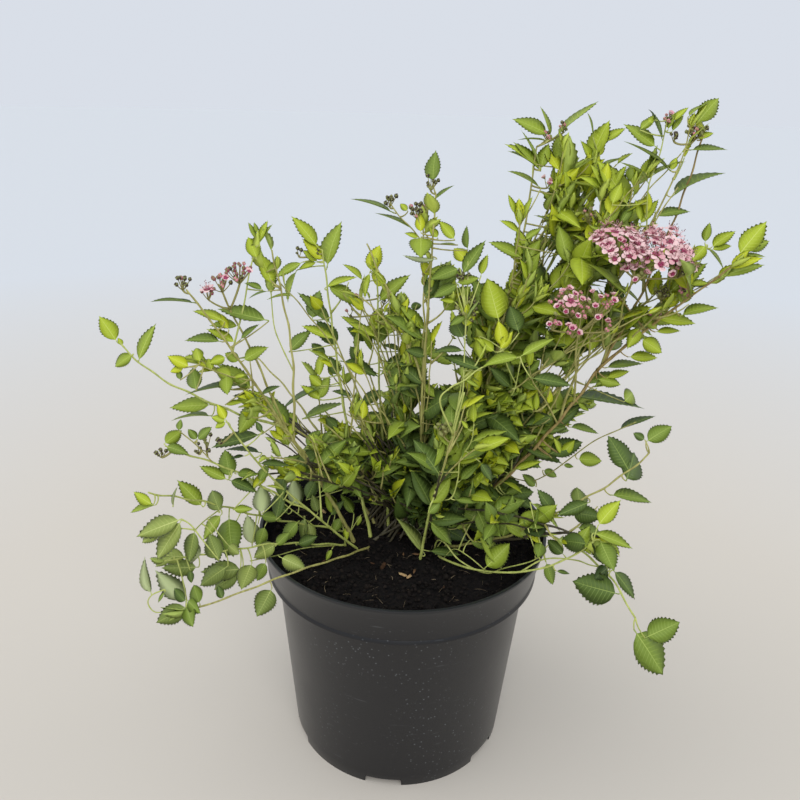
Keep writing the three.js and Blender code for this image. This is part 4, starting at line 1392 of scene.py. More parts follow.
LOW_RIGHT = rows_of("""
    545 505; 598 500; 602 530; 630 546; 618 560; 616 600; 580 596; 594 565; 555 556; 550 535""")
# across, down and radius of each opening
OPENINGS = np.array(rows_of("""
    212 350 7; 222 354 6; 218 384 5; 228 392 8; 222 390 6; 203 385 6; 262 335 15; 280 325 18; 295 314 10;
    250 345 10; 275 345 11; 258 305 12; 240 325 6; 308 280 14; 316 270 9; 297 284 6; 337 270 12; 350 276 6;
    336 303 8; 343 312 7; 340 330 8; 347 343 9; 348 352 7; 332 350 8; 326 300 4; 356 287 7; 354 316 6;
    392 268 12; 406 272 12; 413 287 9; 372 290 5; 368 311 5; 384 303 3; 394 336 6; 390 353 8; 386 345 4;
    370 358 4; 378 366 5; 433 303 6; 433 316 6; 444 313 7; 422 300 4; 450 345 8; 458 350 7; 444 339 4;
    300 350 6; 311 340 5; 261 372 13; 275 376 8; 256 386 8; 270 366 8; 286 387 8; 292 393 7; 299 376 4;
    304 378 4; 299 393 3; 328 374 3; 342 374 3; 336 386 5; 350 388 6; 365 387 6; 377 385 5; 386 386 4;
    340 410 7; 334 415 5; 348 405 4; 350 416 3; 310 405 7; 302 411 6; 324 400 4; 292 410 4; 310 425 8;
    303 436 5; 320 412 4; 323 430 4; 374 407 5; 380 402 3; 415 407 6; 266 427 3; 262 420 3; 265 448 6;
    250 448 5; 252 465 6; 272 474 6; 299 457 4; 313 458 3; 293 445 3; 335 444 4; 357 429 4; 394 417 2;
    430 440 4; 427 432 3; 434 366 4; 448 372 9; 456 379 6; 433 382 5; 422 366 3; 440 250 8; 433 241 4;
    495 262 10; 500 280 8; 494 274 8; 488 268 6; 514 270 5; 552 268 7; 548 258 7; 556 250 4; 536 266 4;
    553 237 4; 538 228 6; 532 214 8; 597 205 6; 633 197 3; 634 214 3; 625 180 5; 618 169 5; 643 222 3;
    650 185 9; 660 178 8; 655 195 5; 610 152 8; 625 148 7; 666 150 8; 676 148 6; 682 135 5; 660 135 5;
    600 128 7; 576 132 6; 582 150 6; 547 186 4; 534 147 6; 574 290 4; 597 291 4; 609 290 3; 622 281 5;
    637 287 7; 645 295 7; 632 305 4; 650 305 4; 664 278 4; 711 268 8; 727 255 6; 695 293 4; 537 341 4;
    553 336 3; 513 333 3; 473 325 3; 484 324 3; 550 371 8; 566 371 4; 570 379 4; 540 364 3; 587 362 3;
    595 365 6; 604 360 4; 600 376 3; 590 385 4; 623 348 4; 637 349 4; 608 396 6; 540 404 3; 485 372 3;
    498 382 2; 465 410 3; 518 475 5; 535 478 3; 469 349 3; 230 562 6; 222 563 6; 238 563 5; 190 582 5;
    560 527 5; 575 529 4"""))


def within(outline, across, downward):
    """For each picture point, whether it lies within an outline."""
    here = np.array(outline, float)
    after = np.roll(here, -1, axis=0)
    across, downward = across[:, None], downward[:, None]
    level = (here[:, 1] > downward) != (after[:, 1] > downward)
    share = (downward - here[:, 1]) / np.where(level, after[:, 1] - here[:, 1], 1.0)
    beyond = across < here[:, 0] + share * (after[:, 0] - here[:, 0])
    return np.count_nonzero(level & beyond, axis=1) % 2 == 1


def open_spots(places):
    """For each place, whether it would show in an opening or outside the dense parts."""
    across, downward, depth = picture_point(np.atleast_2d(places))
    x, y, radius = OPENINGS.T
    in_opening = np.any((x - across[:, None]) ** 2 + (y - downward[:, None]) ** 2 < radius ** 2, axis=1)
    inside = np.any([within(outline, across, downward) for outline in (CROWN, LOW_LEFT, LOW_RIGHT)], axis=0)
    return in_opening | ~inside


def shows_open(places):
    """True if any of these places would."""
    return bool(np.any(open_spots(places)))


BARE_WOOD = {
    # limb or thin shoot: the shares of its length between which it shows among the leaves
    "top_right": (0.2, 0.62), "far_right": (0.02, 0.7), "yellow_tip": (0.3, 0.92), "front": (0.02, 1.0),
    "fork": (0.0, 1.0), "bud_stalk": (0.0, 1.0), "lime_spray": (0.0, 1.0), "short_twig": (0.0, 1.0),
    "rosette": (0.52, 0.9), "blossom_small": (0.15, 0.85), "low_spray": (0.3, 1.0), "centre": (0.35, 0.9),
    "crest_stem": (0.1, 0.5), "top_second": (0.2, 0.9), "left_flower": (0.2, 0.8), "front_arch": (0.0, 1.0),
}
BARE_POINTS, BARE_GAP, BARE_BEHIND = 40, 5.0, 1.5
bare_line = np.concatenate([
    picture_point([paths[name].at(paths[name].length * share)
                   for share in np.linspace(low, high, BARE_POINTS)])
    for name, (low, high) in BARE_WOOD.items()], axis=1)


def hides_wood(places):
    """True if any of these places would show in front of wood that is bare."""
    (x, y, far), (across, downward, depth) = bare_line, picture_point(places)
    near = (x - across[:, None]) ** 2 + (y - downward[:, None]) ** 2 < BARE_GAP ** 2
    return bool(np.any(near & (depth[:, None] < far - BARE_BEHIND)))


print("openings:", len(OPENINGS))

# %% [markdown]
# ## How a shoot grows
# One rule makes every spray. Walk up the shoot; at each node turn by the golden angle and set a
# leaf; in some axils set a tuft of young leaves or a side twig that grows by the same rule; end in
# a rosette. Leaves lean out from the shoot and turn their upper sides to the light.

# %% Growth
GOLDEN_ANGLE = 137.5
LEAF_HALF = 0.2
LEAF_SPOTS = (
    # share along the leaf, share of its half width
    (0.3, -1), (0.3, 0), (0.3, 1), (0.55, -1), (0.55, 0), (0.55, 1), (0.8, -0.6), (0.8, 0.6), (1.0, 0))
PATTERN_STEP = 5
TONE_SCATTER = 0.09
YOUNG_FROM, YOUNG_SPAN = 0.55, 0.45         # shares of a shoot
CROWN_FOOT, CROWN_RISE, CROWN_REACH = 150, 260, 190
TURN_SCATTER, FACE_SCATTER = 14, 0.28
YOUNG_LEAF, SIZE_SCATTER = 0.42, (0.78, 1.12)       # shares of a full-grown leaf's length
YOUNG_LEAN, OLD_LEAN = 0.55, 1.35           # how far a leaf leans out from its shoot
YOUNG_SPACING, SPACING_SCATTER = 0.45, (0.8, 1.2)   # shares of the plan's spacing
# old leaves darken towards the foot of the crown and its inside, partly as painted shade, and the outer ones
# are lighter
YOUNG_FRESH, OLD_FRESH_AND_SHADE, OUTER_PAINTED_LIGHT = (0.72, 0.9), (0.08, 0.55), 0.2
TUFT_LEAVES, TUFT_LEAF = (3, 3, 4), (10, 17)        # how many, and how long (mm)
ROSETTE_LEAVES = (5, 6, 7)
TWIG_FEET, TWIG_TIP = (0.75, 0.55), 0.3     # radii of a side twig, and of the twigs on that


def tone_for(freshness_and_light, dice, cast):
    """The tone of a leaf, from how young and how well lit it is."""
    level = freshness_and_light + dice.gauss(0, TONE_SCATTER)
    if cast == "dull":
        return "olive" if level <= 0.3 else "dull" if level < 0.75 else "fresh"
    index = int(min(max(level, 0.0), 0.999) * len(BY_FRESHNESS))
    return BY_FRESHNESS[index]


def set_leaf(where, axis, wish, length, family, tone, node):
    """Sets one leaf, unless it would cut into the pot or close an opening of the crown."""
    axis = unit(axis)
    face = square_to(axis, wish)
    if any(in_the_way(where + axis * length * share) for share in (0.5, 1.0)):
        return
    half = np.cross(axis, face) * length * LEAF_HALF
    spots = [where + axis * length * share + half * side for share, side in LEAF_SPOTS]
    if shows_open(spots) or hides_wood(spots):
        return
    pattern = patterns[family][len(sprays[tone]) * PATTERN_STEP % PATTERNS]
    sprays[tone].append((where, axis, face, length, pattern))
    if node:
        sprays_nodes[tone].add(node)


def grow_tuft(where, way, dice, count, length, node, cast, spread=0.5):
    """A tuft of young leaves round a growing tip, the outer ones longest and most open."""
    start = dice.uniform(0, 360)
    aside = square_to(way, np.array([0.2, 0.5, 0.1]))
    for number in range(count):
        out = turned_about(way, aside, math.radians(start + number * GOLDEN_ANGLE))
        inner = number / max(count - 1, 1)
        axis = unit(way + out * mix(spread * 1.5, 0.16, inner))
        size = length * mix(1.0, 0.45, inner) * dice.uniform(0.85, 1.15)
        tone = tone_for(mix(0.74, 1.0, inner), dice, cast)
        set_leaf(where - way * 2.0 * (1 - inner), axis, way - out * 0.4, size, "young", tone, node)


def grow(path, dice, plan, level=0):
    """Dresses a shoot: leaves at its nodes, tufts and side twigs in their axils, a rosette on its tip."""
    aside = square_to(path.way(path.length / 2), np.array([0.3, 0.2, 0.9]))
    azimuth = dice.uniform(0, 360)
    distance = plan["bare"] * path.length
    while distance < path.length - 3:
        share = distance / path.length
        here, way = path.at(distance), path.way(distance)
        aside = square_to(way, aside)
        out = turned_about(way, aside, math.radians(azimuth))
        ripeness = 1 - max(0.0, (share - YOUNG_FROM) / YOUNG_SPAN) ** 1.5
        length = plan["leaf"] * mix(YOUNG_LEAF, 1.0, ripeness) * dice.uniform(*SIZE_SCATTER)
        lean = mix(YOUNG_LEAN, OLD_LEAN, ripeness)
        height_share = min(max((here[2] - CROWN_FOOT) / CROWN_RISE, 0), 1)
        outward = math.hypot(here[0], here[1]) / CROWN_REACH
        # young leaves are fresh all over, and old ones towards the crown's top and outside; the darker tones
        # of old leaves low and inside are partly painted shade
        freshness_and_light = mix(mix(*YOUNG_FRESH, share), mix(*OLD_FRESH_AND_SHADE, height_share) + OUTER_PAINTED_LIGHT * outward,
                        ripeness)
        droop = UP * plan["droop"] * ripeness
        axis = unit(way + out * lean - droop)
        jitter = np.array([dice.gauss(0, FACE_SCATTER) for unused in range(3)])
        wish = LIGHT_FROM + way * 0.35 + jitter
        set_leaf(here, axis, wish, length, plan["family"] if ripeness > 0.5 else "ovate",
                 tone_for(freshness_and_light + plan["bright"], dice, plan["cast"]), plan["node"])
        chance = dice.random()
        if chance < plan["tufts"]:
            bud_way = unit(way + out * 0.6)
            grow_tuft(here + bud_way * 3, bud_way, dice, dice.choice(TUFT_LEAVES),
                      dice.uniform(*TUFT_LEAF), plan["node"], plan["cast"])
        elif chance < plan["tufts"] + plan["sides"] and level < 2 and share < 0.92:
            grow_side(here, way, out, dice, plan, level, share)
        azimuth += GOLDEN_ANGLE + dice.uniform(-TURN_SCATTER, TURN_SCATTER)
        distance += plan["spacing"] * mix(YOUNG_SPACING, 1.0, ripeness) * dice.uniform(*SPACING_SCATTER)
    if plan["crown"]:
        count = dice.choice(ROSETTE_LEAVES) - level if plan["crown"] == "rosette" else 2
        size = plan["leaf"] * (0.62 if plan["crown"] == "rosette" else 0.8)
        grow_tuft(path.at(path.length), path.way(path.length), dice, count, size, plan["node"],
                  plan["cast"], 0.45)


def grow_side(here, way, out, dice, plan, level, share):
    """A side twig that leaves the shoot at a slant and turns up to the light."""
    reach = dice.uniform(*plan["twig"]) * mix(1.1, 0.7, share)
    heading = unit(way * dice.uniform(0.5, 0.9) + out)
    lifted = here + heading * reach * 0.55
    end = here + heading * reach * 0.8 + (UP * 0.75 + way * 0.2) * reach * 0.35
    if shows_open(end) or in_the_way(end):
        return
    twig = Path(bend(here, lifted, end, max(4, int(reach / 4))))
    twigs[plan["bark"]].append((twig, mix(*TWIG_FEET, level), TWIG_TIP))
    side_plan = dict(plan, bare=0.25, spacing=plan["spacing"] * 0.8, leaf=plan["leaf"] * 0.86,
                     tufts=plan["tufts"] * 0.4, sides=0.0 if reach < 30 else 0.12,
                     bright=plan["bright"] + 0.1, droop=plan["droop"] * 0.6,
                     crown="rosette" if dice.random() < 0.4 else "leaf")
    grow(twig, dice, side_plan, level + 1)


# %% Plans of the shoots
PLAN = {
    "bare": 0.45,           # share of the shoot below its first leaf
    "spacing": 12.0,        # from leaf to leaf (mm)
    "leaf": 33.0,           # length of a full-grown leaf (mm)
    "family": "lance",
    "droop": 0.1,           # how much the leaves hang
    "bright": 0.0,          # how much fresher their tones are
    "cast": "",             # or dull, the grey green of the low shoots
    "tufts": 0.22,          # chance of a tuft in an axil
    "sides": 0.26,          # chance of a side twig there
    "twig": (14, 34),       # how long it is (mm)
    "crown": "rosette",     # what ends it: rosette, leaf, or None under buds and flower heads
}
CHANGES = {
    "left_flower": dict(bare=0.38, crown=None),
    "left_leaf": dict(bare=0.4, family="ovate", leaf=36),
    "yellow_tip": dict(bare=0.35, bright=0.1),
    "centre": dict(bare=0.35, bright=0.1, crown=None, family="ovate"),
    "rosette": dict(bare=0.4, bright=0.14),
    "top_right": dict(bare=0.5, bright=0.12, leaf=34, sides=0.2, spacing=15, crown=None, family="ovate"),
    "right_low": dict(bare=0.4, family="round", leaf=27, tufts=0.08, sides=0.1, crown=None),
    "over_rim": dict(bare=0.5, family="round", leaf=27, tufts=0.06, sides=0.12, droop=0.2, crown=None),
    "front": dict(bare=0.4, family="ovate", leaf=28, tufts=0.2, sides=0.1),
    "left_mid": dict(bare=0.3, family="ovate", leaf=28, tufts=0.2, sides=0.14),
    "left_low": dict(bare=0.3, family="round", leaf=27, cast="dull", tufts=0.1, sides=0.1, droop=0.5),
    "left_hanging": dict(bare=0.4, family="round", leaf=30, cast="dull", tufts=0.05, sides=0.1,
                         droop=0.6),
    "left_lowest": dict(bare=0.5, family="round", leaf=28, cast="dull", tufts=0.05, sides=0.1, droop=0.5),
    "back_left": dict(bare=0.25, twig=(20, 46), sides=0.4),
    "back": dict(bare=0.25, twig=(20, 48), sides=0.4),
    "back_right": dict(bare=0.25, twig=(20, 48), sides=0.4),
    "right_back": dict(bare=0.3, twig=(18, 40), sides=0.35),
    "far_left": dict(bare=0.45, tufts=0.1, sides=0.08, spacing=17, family="ovate", leaf=27, bright=0.1),
    "upper_left": dict(bare=0.4, sides=0.12, bright=0.12, family="ovate"),
    "centre_left": dict(bare=0.4, sides=0.12, crown=None),
    "right_top": dict(bare=0.3, bright=0.1, leaf=34, family="ovate", crown=None),
    "right_crest": dict(bare=0.35, bright=0.1, leaf=32, family="ovate"),
    "far_right": dict(bare=0.25, leaf=32, family="ovate", bright=0.08),
    "right_droop": dict(bare=0.3, family="round", leaf=29, tufts=0.05, sides=0.08, droop=0.5, spacing=15),
    "left_side": dict(bare=0.35, family="ovate", leaf=24, tufts=0.1, sides=0.1),
    "blossom_main": dict(bare=0.3, tufts=0.1, sides=0.0, crown=None),
    "blossom_small": dict(bare=0.3, tufts=0.1, sides=0.0, crown=None),
    "blossom_left": dict(bare=0.5, tufts=0.1, sides=0.0, crown=None, leaf=22),
}
LEAFY_THIN_SHOOTS = (
    "crest_stem", "top_second", "top_third", "fork", "bud_stalk", "left_second", "low_spray")

for name, change in CHANGES.items():
    node = None if name.startswith("blossom") else f"leaves_{name}"
    plan = dict(PLAN, bark=bark_of[name], node=node, **change)
    grow(paths[name], random.Random("grow " + name), plan)
for name in LEAFY_THIN_SHOOTS:
    plan = dict(PLAN, bark="fresh", node=None, bare=0.12, family="ovate", leaf=27.0, tufts=0.3, sides=0.15)
    grow(paths[name], random.Random("grow " + name), plan)
print("leaves on the main shoots:", leaf_count())

# %% [markdown]
# ## The thicket inside
# Round every limb the real shrub has thinner companions, and in its middle they make a thicket of
# dark leaves, older ones and partly painted shade, that hides all their feet. A companion starts low
# on the limb or at the crown of the roots and ends at a random place inside the mass that it helps
# to fill.

# %% Thicket
COMPANIONS = {
    # limb: how many, leaf length (mm)
    "left_flower": (5, 27), "left_leaf": (6, 29), "yellow_tip": (5, 29), "centre": (6, 29),
    "rosette": (6, 33), "top_right": (8, 35), "right_top": (9, 36), "right_crest": (10, 36),
    "far_right": (6, 33), "upper_left": (1, 25), "centre_left": (3, 27), "front": (4, 29),
    "left_mid": (4, 27), "left_side": (1, 25), "right_low": (2, 26),
    "over_rim": (1, 26), "back_left": (7, 30), "back": (8, 31), "back_right": (8, 31),
    "right_back": (7, 31), "inner_left": (25, 30), "inner_right": (29, 31),
}
TRIES = 60
OPEN_SHARE = 0.1
ROOTS_ACROSS, ROOTS_BACK = (-36, 36), (-4, 36)
FROM_LIMB, LIMB_PART = 0.5, (0.1, 0.5)
# below this height the companions' bark is dark: old wood, and painted shade in the crown's hollow
OLD_AND_SHADED_BELOW = 215.0
COMPANION_FEET, COMPANION_TIP, TAPER_IN_OLD = (0.6, 0.95), 0.35, 0.4

for name, (count, leaf) in COMPANIONS.items():
    node = f"leaves_{name}"
    dice = random.Random("thicket " + name)
    low, high = (np.array(corner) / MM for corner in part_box(node))
    for number in range(count):
        for attempt in range(TRIES):
            offset = np.array([dice.uniform(-1, 1) for unused in range(3)])
            tip = (low + high) / 2 + offset * (high - low) / 2
            root = np.array([dice.uniform(*ROOTS_ACROSS), dice.uniform(*ROOTS_BACK), SOIL_TOP - FOOT_DEPTH])
            if name in paths and dice.random() < FROM_LIMB:
                root = paths[name].at(paths[name].length * dice.uniform(*LIMB_PART))
            control = mix(root, tip, 0.5) + UP * dice.uniform(0, 0.2) * np.linalg.norm(tip - root)
            line = bend(root, control, tip, 30)
            # its first points may show in an opening, and lie in the compost
            hidden = not shows_open(tip) and np.mean(open_spots(line[3:])) <= OPEN_SHARE
            if offset @ offset < 1 and hidden and not any(in_the_way(point) for point in line[4:]):
                break
        else:
            continue
        path = wandering(line, dice, COMPANION_SWING)
        # dark old wood low down, its dark colour also painted shade in the crown's hollow, and tan wood from
        # there to the tip
        old_and_shaded_points = int(np.sum(path.points[:, 2] < OLD_AND_SHADED_BELOW))
        foot_radius = upper_radius = dice.uniform(*COMPANION_FEET)
        if old_and_shaded_points > 2:
            upper_radius = mix(foot_radius, COMPANION_TIP, TAPER_IN_OLD)
            twigs["old"].append((Path(path.points[:old_and_shaded_points + 1]), foot_radius, upper_radius))
        if old_and_shaded_points < len(path.points) - 2:
            upper = Path(path.points[max(old_and_shaded_points - 1, 0):])
            twigs["tan"].append((upper, upper_radius, COMPANION_TIP))
        plan = dict(PLAN, bark="tan", node=node, bare=0.18, spacing=10.5, leaf=leaf * dice.uniform(0.9, 1.15),
                    tufts=0.12, sides=0.24, twig=(14, 32), bright=0.1)
        grow(path, dice, dict(plan, family=dice.choice(("lance", "ovate"))))
print("leaves with the thicket:", leaf_count())

# %% Join the leaves and twigs
LEAVES_IN_A_PIECE = 1100
for tone, leaves in sprays.items():
    for first in range(0, len(leaves), LEAVES_IN_A_PIECE):
        heap = Heap()
        for where, axis, face, length, pattern in leaves[first:first + LEAVES_IN_A_PIECE]:
            corners, faces, finishes = pattern
            turn = np.stack([axis, np.cross(face, axis), face])
            heap.add(corners @ turn * length + where, faces, finishes)
        number = first // LEAVES_IN_A_PIECE + 1
        heap.piece(f"leaves_{tone}_{number}", "foliage", leaf_materials[tone], sorted(sprays_nodes[tone]))

for bark, limbs in twigs.items():
    heap = Heap()
    dice = random.Random("twigs " + bark)
    for path, foot_radius, tip_radius in limbs:
        heap.add(*limb(path, foot_radius, tip_radius, TWIG_SIDES, dice))
    if limbs:
        heap.piece(f"twigs_{bark}", "stem_bark", [bark_materials[bark]], [])

# %% [markdown]
# ## Blossom
# A head of spirea is a flat-topped cluster of clusters: rays fork from the top of its stalk, and each
# forks again into short flower stalks that end at about one level. A flower has five round pale
# petals, a deep pink ring in the middle, and a brush of long stamens with dark tips. The flowers
# open a few at a time, so most heads carry more beads than flowers.

# %% Flower pattern
PETAL, PETALS, PETAL_START = 4.4, 5, 0.8
PETAL_ROWS = (
    # share along the petal, half width and lift as shares of its length
    (0.0, 0.10, 0.0), (0.3, 0.26, 0.08), (0.62, 0.45, 0.14), (0.88, 0.38, 0.10), (1.0, 0.14, 0.03))
PETAL_CUP, PETAL_GRAIN, PALE_SHARE = 0.14, 1400.0, 0.65
STAMENS, STAMENS_SHOW_FROM, STAMEN_SIDES = 11, 0.6, 3
RING_SIDES, RING_RADIUS = 6, 1.1
BLOSSOM_COLOURS = {
    "petal_pale": (228, 192, 190), "petal_rose": (214, 160, 165), "petal_deep": (162, 66, 100),
    "stamen": (222, 170, 172), "anther": (92, 48, 50), "bud_rose": (206, 128, 142),
    "bud_dark": (66, 54, 44), "bud_green": (134, 134, 78), "bud_wine": (138, 72, 84),
    "sepal": (122, 126, 72),
}
(PETAL_PALE, PETAL_ROSE, PETAL_DEEP, STAMEN, ANTHER, BUD_ROSE, BUD_DARK, BUD_GREEN, BUD_WINE,
 SEPAL) = range(len(BLOSSOM_COLOURS))
BEAD = lump(random.Random("bead"), 1.0)
ANTHER_SIZE, CALYX_FACES = 0.34, 6
DIAMOND = np.array([(1, 0, 0), (0, 1, 0), (-1, 0, 0), (0, -1, 0), (0, 0, 1), (0, 0, -1)]) * ANTHER_SIZE
DIAMOND_FACES = [(0, 1, 4), (1, 2, 4), (2, 3, 4), (3, 0, 4), (1, 0, 5), (2, 1, 5), (3, 2, 5), (0, 3, 5)]


def flower(dice, openness, petal):
    """Corners, faces and finishes of one flower facing +Z, with petals so long."""
    heap = Heap()
    for number in range(PETALS):
        angle = math.tau * number / PETALS + dice.uniform(-0.1, 0.1)
        way = np.array([math.cos(angle), math.sin(angle), 0.0])
        aside = np.array([-way[1], way[0], 0.0])
        size = petal * dice.uniform(0.88, 1.1)
        corners = []
        for along, half, lift in PETAL_ROWS:
            upright = (1 - openness) * along * size * 0.8
            middle = way * (PETAL_START + along * size * openness) + UP * (
                lift * size + upright + dice.uniform(-0.1, 0.1))
            for side in (-1, 0, 1):
                cup = UP * PETAL_CUP * abs(side) * size * half
                corners.append(middle + aside * side * half * size + cup)
        faces = []
        for row in range(len(PETAL_ROWS) - 1):
            a = row * 3
            faces += [(a, a + 3, a + 4, a + 1), (a + 1, a + 4, a + 5, a + 2)]
        pale = PETAL_PALE if dice.random() < PALE_SHARE else PETAL_ROSE
        heap.add(np.array(corners), faces, [PETAL_DEEP] * 2 + [pale] * (len(faces) - 2))
    ring = [polar(step * 360 / RING_SIDES, RING_RADIUS, 0.35) for step in range(RING_SIDES)]
    sides = [(k, (k + 1) % RING_SIDES) for k in range(RING_SIDES)]
    heap.add(np.array(ring + [[0, 0, 0.05], [0, 0, -1.3]]),
             [(a, b, RING_SIDES) for a, b in sides] + [(b, a, RING_SIDES + 1) for a, b in sides],
             [PETAL_DEEP] * RING_SIDES + [SEPAL] * RING_SIDES)
    for number in range(STAMENS if openness > STAMENS_SHOW_FROM else 0):
        angle = dice.uniform(0, 360)
        end = polar(angle, dice.uniform(1.2, 3.6), dice.uniform(2.4, 4.4))
        foot = polar(angle, 0.9, 0.2)
        thread = [foot, mix(foot, end, 0.5) + UP * 0.5, end]
        heap.add(*tube(thread, [0.12, 0.09, 0.08], STAMEN_SIDES), STAMEN)
        heap.add(DIAMOND + end, DIAMOND_FACES, ANTHER)
    return np.concatenate(heap.corners), heap.faces, heap.finishes


def bud(size, finish):
    """Corners, faces and finishes of one bead on its calyx."""
    return BEAD * size, LUMP_FACES, [finish] * (len(LUMP_FACES) - CALYX_FACES) + [SEPAL] * CALYX_FACES


def petal_skin(name, colour):
    """Soft, dull petal tissue, with a faint grain."""
    material, nodes, links, shader = new_material(name, 0.6)
    shader.inputs["Base Color"].default_value = linear(*colour)
    shader.inputs["Specular IOR Level"].default_value = 0.3
    bump_node(nodes, links, shader, noise_node(nodes, links, PETAL_GRAIN, 2.0), 0.3, 0.2 * MM)
    return material


blossom_materials = [petal_skin(name, colour) for name, colour in BLOSSOM_COLOURS.items()]

# %% Flower heads
HEADS = {
    # node: clusters by picture point, radius in the picture, how many open, half open and closed,
    # and of the closed ones the shares rose and dark
    "blossom_main": [(620, 244, 23, 19, 6, 6, 0.8, 0.1), (664, 248, 26, 21, 6, 8, 0.6, 0.2),
                     (637, 272, 12, 4, 2, 3, 0.6, 0.2), (680, 266, 13, 2, 4, 16, 0.3, 0.3)],
    "blossom_small": [(572, 303, 20, 1, 9, 24, 0.55, 0.1), (597, 305, 14, 0, 4, 14, 0.4, 0.2),
                      (553, 322, 6, 0, 2, 4, 0.9, 0.0), (573, 329, 7, 0, 3, 4, 0.8, 0.0),
                      (611, 302, 6, 0, 2, 3, 0.8, 0.1), (609, 324, 4, 0, 1, 3, 0.8, 0.0)],
    "blossom_left": [(208, 291, 7, 1, 1, 4, 0.3, 0.0), (239, 272, 13, 0, 1, 17, 0.15, 0.25),
                     (222, 281, 11, 0, 1, 11, 0.2, 0.2)],
}
DOME = 0.4
LEANS_OUT = 0.5
STEM_LEFT_FREE = 16
RAY_RADIUS, RAY_SIDES = 0.62, 4
STALK_RADII = [0.38, 0.34, 0.3, 0.28, 0.28]
OPEN_FLOWER, OPENING_FLOWER = ((0.75, 1.0), (0.75, 1.05)), ((0.25, 0.5), (0.5, 0.7))
CAMERA_SIDE = np.array([0.0, -0.45, 0.0])
stalks = Heap()


def head_place(number, count, radius, dome):
    """Place number of count in a sunflower pattern over a dome."""
    share = math.sqrt((number + 0.5) / count)
    return polar(number * GOLDEN_ANGLE, radius * share, dome * (1 - share * share))


def turned_to(corners, face, spin):
    """Turns a thing that faces +Z to another way."""
    face = unit(face)
    along = turned_about(face, square_to(face, np.array([1.0, 0.2, 0.0])), spin)
    return corners @ np.stack([along, np.cross(face, along), face])


def cluster(heap, root, middle, radius, opened, opening, closed, rose, dark, rest, dice):
    """Flowers and beads on a low dome round a middle, each on a stalk that forks under it."""
    fork = middle - UP * (radius * 0.5 + 3)
    if np.linalg.norm(fork - root) > 1:
        ray = bend(root, mix(root, fork, 0.6) - UP * 1.5, fork, 5)
        stalks.add(*tube(ray, [RAY_RADIUS] * len(ray), RAY_SIDES))
    kinds = [OPEN_FLOWER] * opened + [OPENING_FLOWER] * opening + [None] * closed
    dice.shuffle(kinds)
    for number, kind in enumerate(kinds):
        offset = head_place(number, len(kinds), radius, radius * DOME)
        offset += np.array([dice.uniform(-1.2, 1.2), dice.uniform(-1.2, 1.2), dice.uniform(-2, 1.5)])
        offset[2] += offset[1] * LEANS_OUT
        where = middle + offset
        tilt = np.array([dice.gauss(0, 0.22), dice.gauss(0, 0.22), 0.0])
        face = UP + offset * np.array([1, 1, 0]) / max(radius, 3) * 0.6 + CAMERA_SIDE + tilt
        if kind:
            openness, petal = kind
            corners, faces, finishes = flower(dice, dice.uniform(*openness), PETAL * dice.uniform(*petal))
            corners = turned_to(corners, face, dice.uniform(0, 6))
        else:
            draw = dice.random()
            finish = BUD_ROSE if draw < rose else BUD_DARK if draw < rose + dark else rest
            corners, faces, finishes = bud(dice.uniform(0.9, 1.5), finish)
            corners = turned_to(corners, face, 0)
            where = where - UP * dice.uniform(0, 1.5)
        heap.add(corners + where, faces, finishes)
        stalk = bend(fork, mix(fork, where, 0.55) - UP * 0.8, where - unit(face) * 0.8, len(STALK_RADII) - 1)
        stalks.add(*tube(stalk, STALK_RADII, STALK_SIDES))


for node, clusters in HEADS.items():
    dice = random.Random("head " + node)
    heap = Heap()
    root = paths[node].at(paths[node].length - STEM_LEFT_FREE)
    depth = picture_point(paths[node].at(paths[node].length))[2]
    for across, downward, radius, *counts in clusters:
        middle = place_ahead(across, downward, depth + dice.uniform(-3, 3))
        rest = BUD_WINE if node == "blossom_left" else BUD_GREEN
        cluster(heap, root, middle, radius / LENS_PIXELS * depth, *counts, rest, dice)
    heap.piece(f"flowers_{node}", "blossom", blossom_materials, [node])

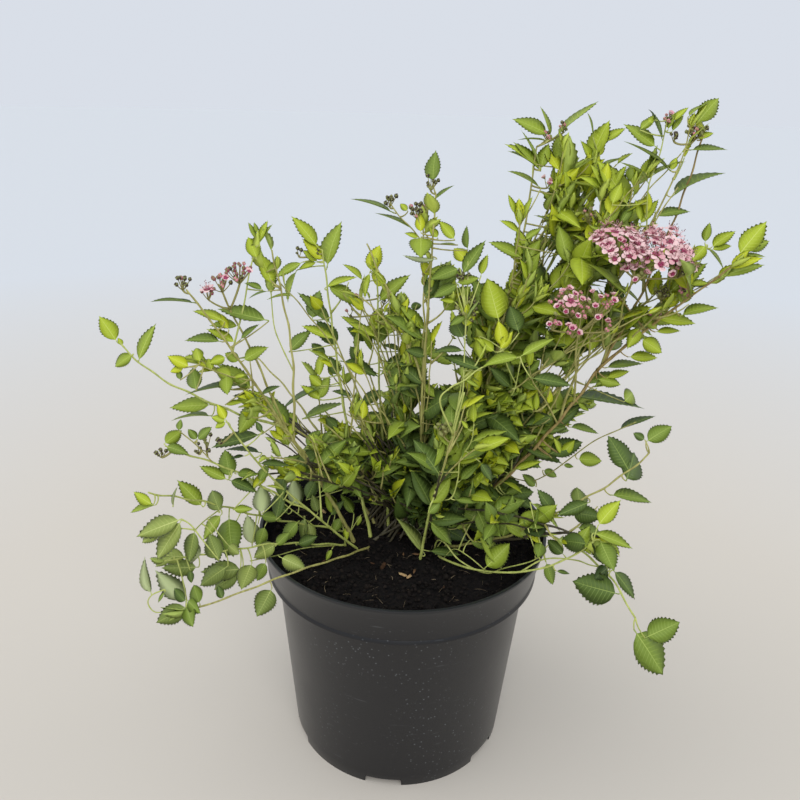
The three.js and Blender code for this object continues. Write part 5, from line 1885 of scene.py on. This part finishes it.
# %% Clusters of buds, and single flowers
SMALL_CLUSTERS = [
    # limbs, picture point, radius in the picture, counts and shares as above
    ("left_flower", 182, 280, 9, 0, 0, 9, 0.1, 0.9), ("left_leaf", 299, 251, 3, 0, 0, 3, 0.0, 1.0),
    ("left_leaf", 316, 251, 4, 0, 0, 4, 0.0, 1.0), ("yellow_tip", 384, 297, 6, 0, 0, 6, 0.1, 0.8),
    ("yellow_tip", 350, 311, 3, 0, 0, 3, 0.2, 0.6), ("yellow_tip", 357, 294, 3, 0, 0, 4, 0.4, 0.4),
    ("centre_buds", 390, 199, 5, 0, 0, 9, 0.1, 0.7), ("centre_bead", 418, 209, 9, 0, 0, 18, 0.1, 0.7),
    ("centre", 431, 182, 6, 0, 0, 9, 0.1, 0.6), ("bud_stalk", 467, 306, 13, 0, 0, 24, 0.0, 0.8),
    ("bud_stalk", 463, 274, 6, 0, 0, 8, 0.0, 0.9), ("top_second", 696, 130, 9, 0, 0, 22, 0.2, 0.4),
    ("top_third", 668, 117, 4, 0, 1, 6, 0.5, 0.2), ("top_second top_third", 675, 134, 4, 0, 0, 6, 0.0, 0.9),
    ("crest_stem", 590, 213, 9, 0, 0, 16, 0.1, 0.3), ("far_right", 662, 292, 7, 0, 0, 14, 0.0, 0.7),
    ("far_right", 656, 311, 5, 0, 0, 8, 0.2, 0.6), ("far_right", 683, 288, 5, 0, 0, 8, 0.3, 0.2),
    ("right_top", 547, 132, 4, 0, 0, 6, 0.4, 0.2), ("right_top", 564, 126, 3, 0, 0, 5, 0.4, 0.2),
    ("side_buds", 206, 443, 8, 0, 0, 7, 0.0, 0.9), ("side_buds", 198, 448, 3, 0, 0, 4, 0.0, 0.9),
    ("left_side", 161, 451, 4, 0, 0, 5, 0.0, 1.0), ("left_mid", 219, 438, 3, 0, 0, 4, 0.0, 1.0),
    ("front", 444, 428, 7, 0, 0, 18, 0.1, 0.1), ("crest_stem", 583, 248, 4, 1, 0, 0, 0.5, 0.0),
    ("right_top", 548, 181, 4, 0, 2, 1, 0.5, 0.0), ("right_crest", 618, 190, 3, 0, 1, 2, 1.0, 0.0),
]
beads = Heap()
for number, (names, across, downward, radius, *counts) in enumerate(SMALL_CLUSTERS):
    name, root = nearest_on(names.split(), across, downward + 2 * radius)
    depth = picture_point(root)[2]
    middle = place_ahead(across, downward, depth)
    cluster(beads, root, middle, radius / LENS_PIXELS * depth, *counts, BUD_GREEN,
            random.Random(f"cluster {number}"))
beads.piece("flower_buds", "blossom", blossom_materials, [])
stalks.piece("flower_stalks", "blossom", [petal_skin("flower_stalk", (146, 140, 84))], [])

# %% [markdown]
# ## Size
# The fine model has to keep the frame's size, so both boxes are written down for comparison.

# %% Sizes and finish
VISUAL_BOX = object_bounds()
boxes = {"cad": [list(corner) for corner in CAD_BOX], "visual": [list(corner) for corner in VISUAL_BOX]}
for name, box in boxes.items():
    print(name, "size (mm):", [[round(v / MM) for v in corner] for corner in box])
